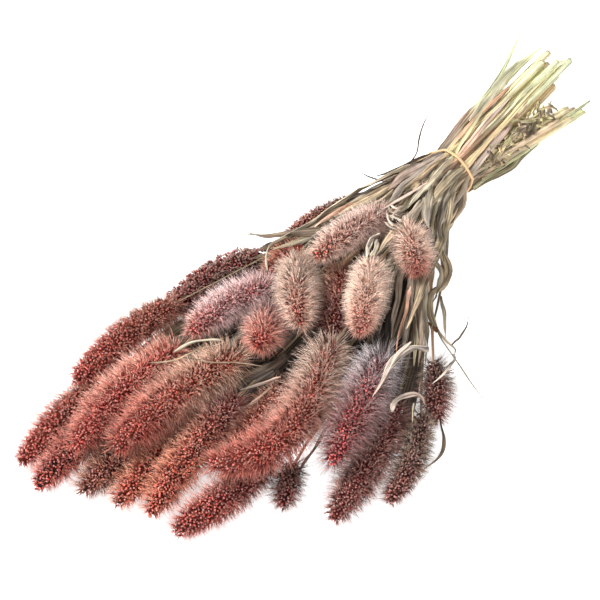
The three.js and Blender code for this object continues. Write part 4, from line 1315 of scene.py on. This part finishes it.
def frayed_bits(seed, count):
    """Short bent blades, loosely along one line."""
    rng = np.random.default_rng(seed)
    parts = []
    for place in rng.random(count):
        middle = FRAYED_FROM + (FRAYED_TO - FRAYED_FROM) * place + rng.normal(0, FRAYED_LOOSENESS)
        way = unit(TOWARDS_CUT_ENDS + rng.normal(0, FRAYED_TURN, 3))
        reach = way * rng.uniform(*FRAYED_HALF_LENGTHS)
        sag = rng.normal(0, FRAYED_SAG, 3)
        colours = [LEAF_SHADES[FRAYED_SHADES[rng.integers(len(FRAYED_SHADES))]] for _ in range(2)]
        route = [middle - reach, middle + sag, middle + reach]
        parts.append(blade(
            route, rng.uniform(*FRAYED_HALF_WIDTHS), TOWARDS_VIEWER, rng, colours, FRAYED_CURL,
            FRAYED_TWIST, FRAYED_WAVE, BLADE_PROFILE, FRAYED_STEPS))
    made = piece("frayed_bits", parts, [dry_leaf])
    print("frayed bits:", len(parts), "with", len(made.data.polygons), "faces")


frayed_bits(seed=407, count=170)

# %% [markdown]
# ## The rubber band
#
# A natural rubber band is tan and smooth, with a soft shine and a little dust. It could be a plain ring,
# but it is stretched round the stems, so its line is the shortest loop round them: the convex hull of the
# CAD band, seen along the stems.

# %% Rubber material and band
DUST_MM = 4  # soft dusty patches on old rubber


def rubber_material():
    """Moulded rubber: smooth, with a soft shine and a dusty bloom that makes it uneven."""
    material, tree, output = new_material("natural rubber")
    place = add_node(tree, "TexCoord")
    dust = add_node(tree, "TexNoise", {
        "Vector": place.outputs["Object"], "Scale": 1 / (DUST_MM * MM), "Detail": 3.0})
    chart = add_node(tree, "ValToRGB", {"Fac": dust.outputs["Fac"]})
    chart.color_ramp.elements[0].color = (*paint("#cda070"), 1)
    chart.color_ramp.elements[1].color = (*paint("#efcfa2"), 1)
    fine = add_node(tree, "Bump", {"Height": dust.outputs["Fac"], "Distance": 0.1 * MM, "Strength": 0.4})
    surface = add_node(tree, "BsdfPrincipled", {
        "Base Color": chart.outputs["Color"], "Roughness": 0.42, "IOR": 1.52,
        "Normal": fine.outputs["Normal"]})
    tree.links.new(surface.outputs["BSDF"], output.inputs["Surface"])
    return material


BAND_HALF_WIDTH = 1.1
BAND_HALF_THICKNESS = 0.85
BAND_STEPS = 120
BAND_SIDES = 12
BAND_WANDER = 0.5  # along the stems
WANDER_TIMES = 2  # to and fro round the loop
WANDER_START = 1


def band_part():
    """A flat oval section swept round the hull of the CAD band."""
    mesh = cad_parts["rubber_band"].data
    places = np.array([v.co for v in mesh.vertices]) / MM
    hull = convex_hull_2d([Vector(p) for p in places[:, 1:]])
    loop = places[hull][:, 1:]
    loop = resampled(np.vstack([loop, loop[:1]]), BAND_STEPS + 1)[:-1]
    along = unit(np.roll(loop, -1, axis=0) - np.roll(loop, 1, axis=0))
    out = np.column_stack([along[:, 1], -along[:, 0]])
    turns = np.arange(BAND_SIDES) * TURN / BAND_SIDES
    inset = (np.cos(turns) - 1) * BAND_HALF_THICKNESS
    flat = loop[:, None] + inset[None, :, None] * out[:, None]
    round_it = np.arange(BAND_STEPS) * TURN / BAND_STEPS
    wander = BAND_WANDER * np.sin(round_it * WANDER_TIMES + WANDER_START)
    x = BAND_X + wander[:, None] + np.sin(turns)[None] * BAND_HALF_WIDTH
    rings = np.concatenate([x[..., None], flat], axis=2)
    rings = np.concatenate([rings, rings[:1]])
    points, faces = skin(rings, closed_ends=False)
    first_again = len(points) - BAND_SIDES
    quads = np.where(faces[0] >= first_again, faces[0] - first_again, faces[0])
    return part(points[:first_again], [quads], np.ones(3))


piece("stretched_rubber_band", [band_part()], [rubber_material()], "rubber_band")
print("band at x =", round(BAND_X, 1), "mm")

# %% [markdown]
# ## Table, light and camera
#
# The bunch lies on a plain white table under soft light from the upper left. One small lamp would throw
# hard shadows, so the key lamp is large, a larger one in front fills its shadows, and a white room lights
# the rest. The camera looks down on the bunch from the side of the heads.

# %% Table
TABLE_REACH = 20  # in metres each way, so that low views don't see its edge
WHITE = (*paint("#ffffff"), 1)


def table():
    """Pressed white laminate, matt. It glows a little, as a light table does, so shadows stay soft."""
    material, tree, output = new_material("white laminate")
    surface = add_node(tree, "BsdfPrincipled", {
        "Base Color": (*paint("#f7f7f7"), 1), "Roughness": 0.9, "Emission Color": WHITE,
        "Emission Strength": 0.7})
    tree.links.new(surface.outputs["BSDF"], output.inputs["Surface"])
    mesh = bpy.data.meshes.new("table")
    corners = [(TABLE_REACH * x, TABLE_REACH * y, 0) for x, y in ((-1, -1), (1, -1), (1, 1), (-1, 1))]
    mesh.from_pydata(corners, [], [(0, 1, 2, 3)])
    mesh.materials.append(material)
    made = bpy.data.objects.new("table", mesh)
    bpy.context.scene.collection.objects.link(made)
    print("table:", 2 * TABLE_REACH, "m across")


table()

# %% Light
ROOM_LIGHT = 0.25


def softbox(name, place, power, size):
    """A square lamp that points at the bunch's middle. Place and size are in metres, power in watts."""
    lamp = bpy.data.lights.new(name, "AREA")
    lamp.energy = power
    lamp.size = size
    made = bpy.data.objects.new(name, lamp)
    made.location = place
    made.rotation_mode = "QUATERNION"
    made.rotation_quaternion = Vector(place).to_track_quat("Z", "Y")
    bpy.context.scene.collection.objects.link(made)


world = bpy.data.worlds.new("white room")
bpy.context.scene.world = world
world.use_nodes = True
room = world.node_tree.nodes["Background"]
room.inputs["Color"].default_value = WHITE
room.inputs["Strength"].default_value = ROOM_LIGHT
softbox("key", (-0.55, 0.75, 1.3), power=36, size=0.4)
softbox("front", (-0.9, -0.9, 1.1), power=15, size=0.8)
bpy.context.scene.view_settings.view_transform = "Standard"
print("lamps:", [lamp.name for lamp in bpy.data.lights])

# %% Camera
AZIMUTH = math.radians(-52)
ELEVATION = math.radians(47)
FIELD_OF_VIEW = math.radians(22)
DISTANCE = 990
SENSOR = 36
TARGET = np.array([-55.8, 28.8, 25.8])  # in the middle of the picture
back = np.array([
    math.sin(AZIMUTH) * math.cos(ELEVATION), -math.cos(AZIMUTH) * math.cos(ELEVATION), math.sin(ELEVATION)])
lens = bpy.data.cameras.new("camera")
lens.sensor_width = SENSOR
lens.lens = SENSOR / 2 / math.tan(FIELD_OF_VIEW / 2)
camera = bpy.data.objects.new("camera", lens)
camera.location = (TARGET + back * DISTANCE) * MM
camera.rotation_mode = "QUATERNION"
camera.rotation_quaternion = Vector(-back).to_track_quat("-Z", "Y")
bpy.context.scene.collection.objects.link(camera)
bpy.context.scene.camera = camera
print("camera at", [round(x) for x in TARGET + back * DISTANCE], "mm")
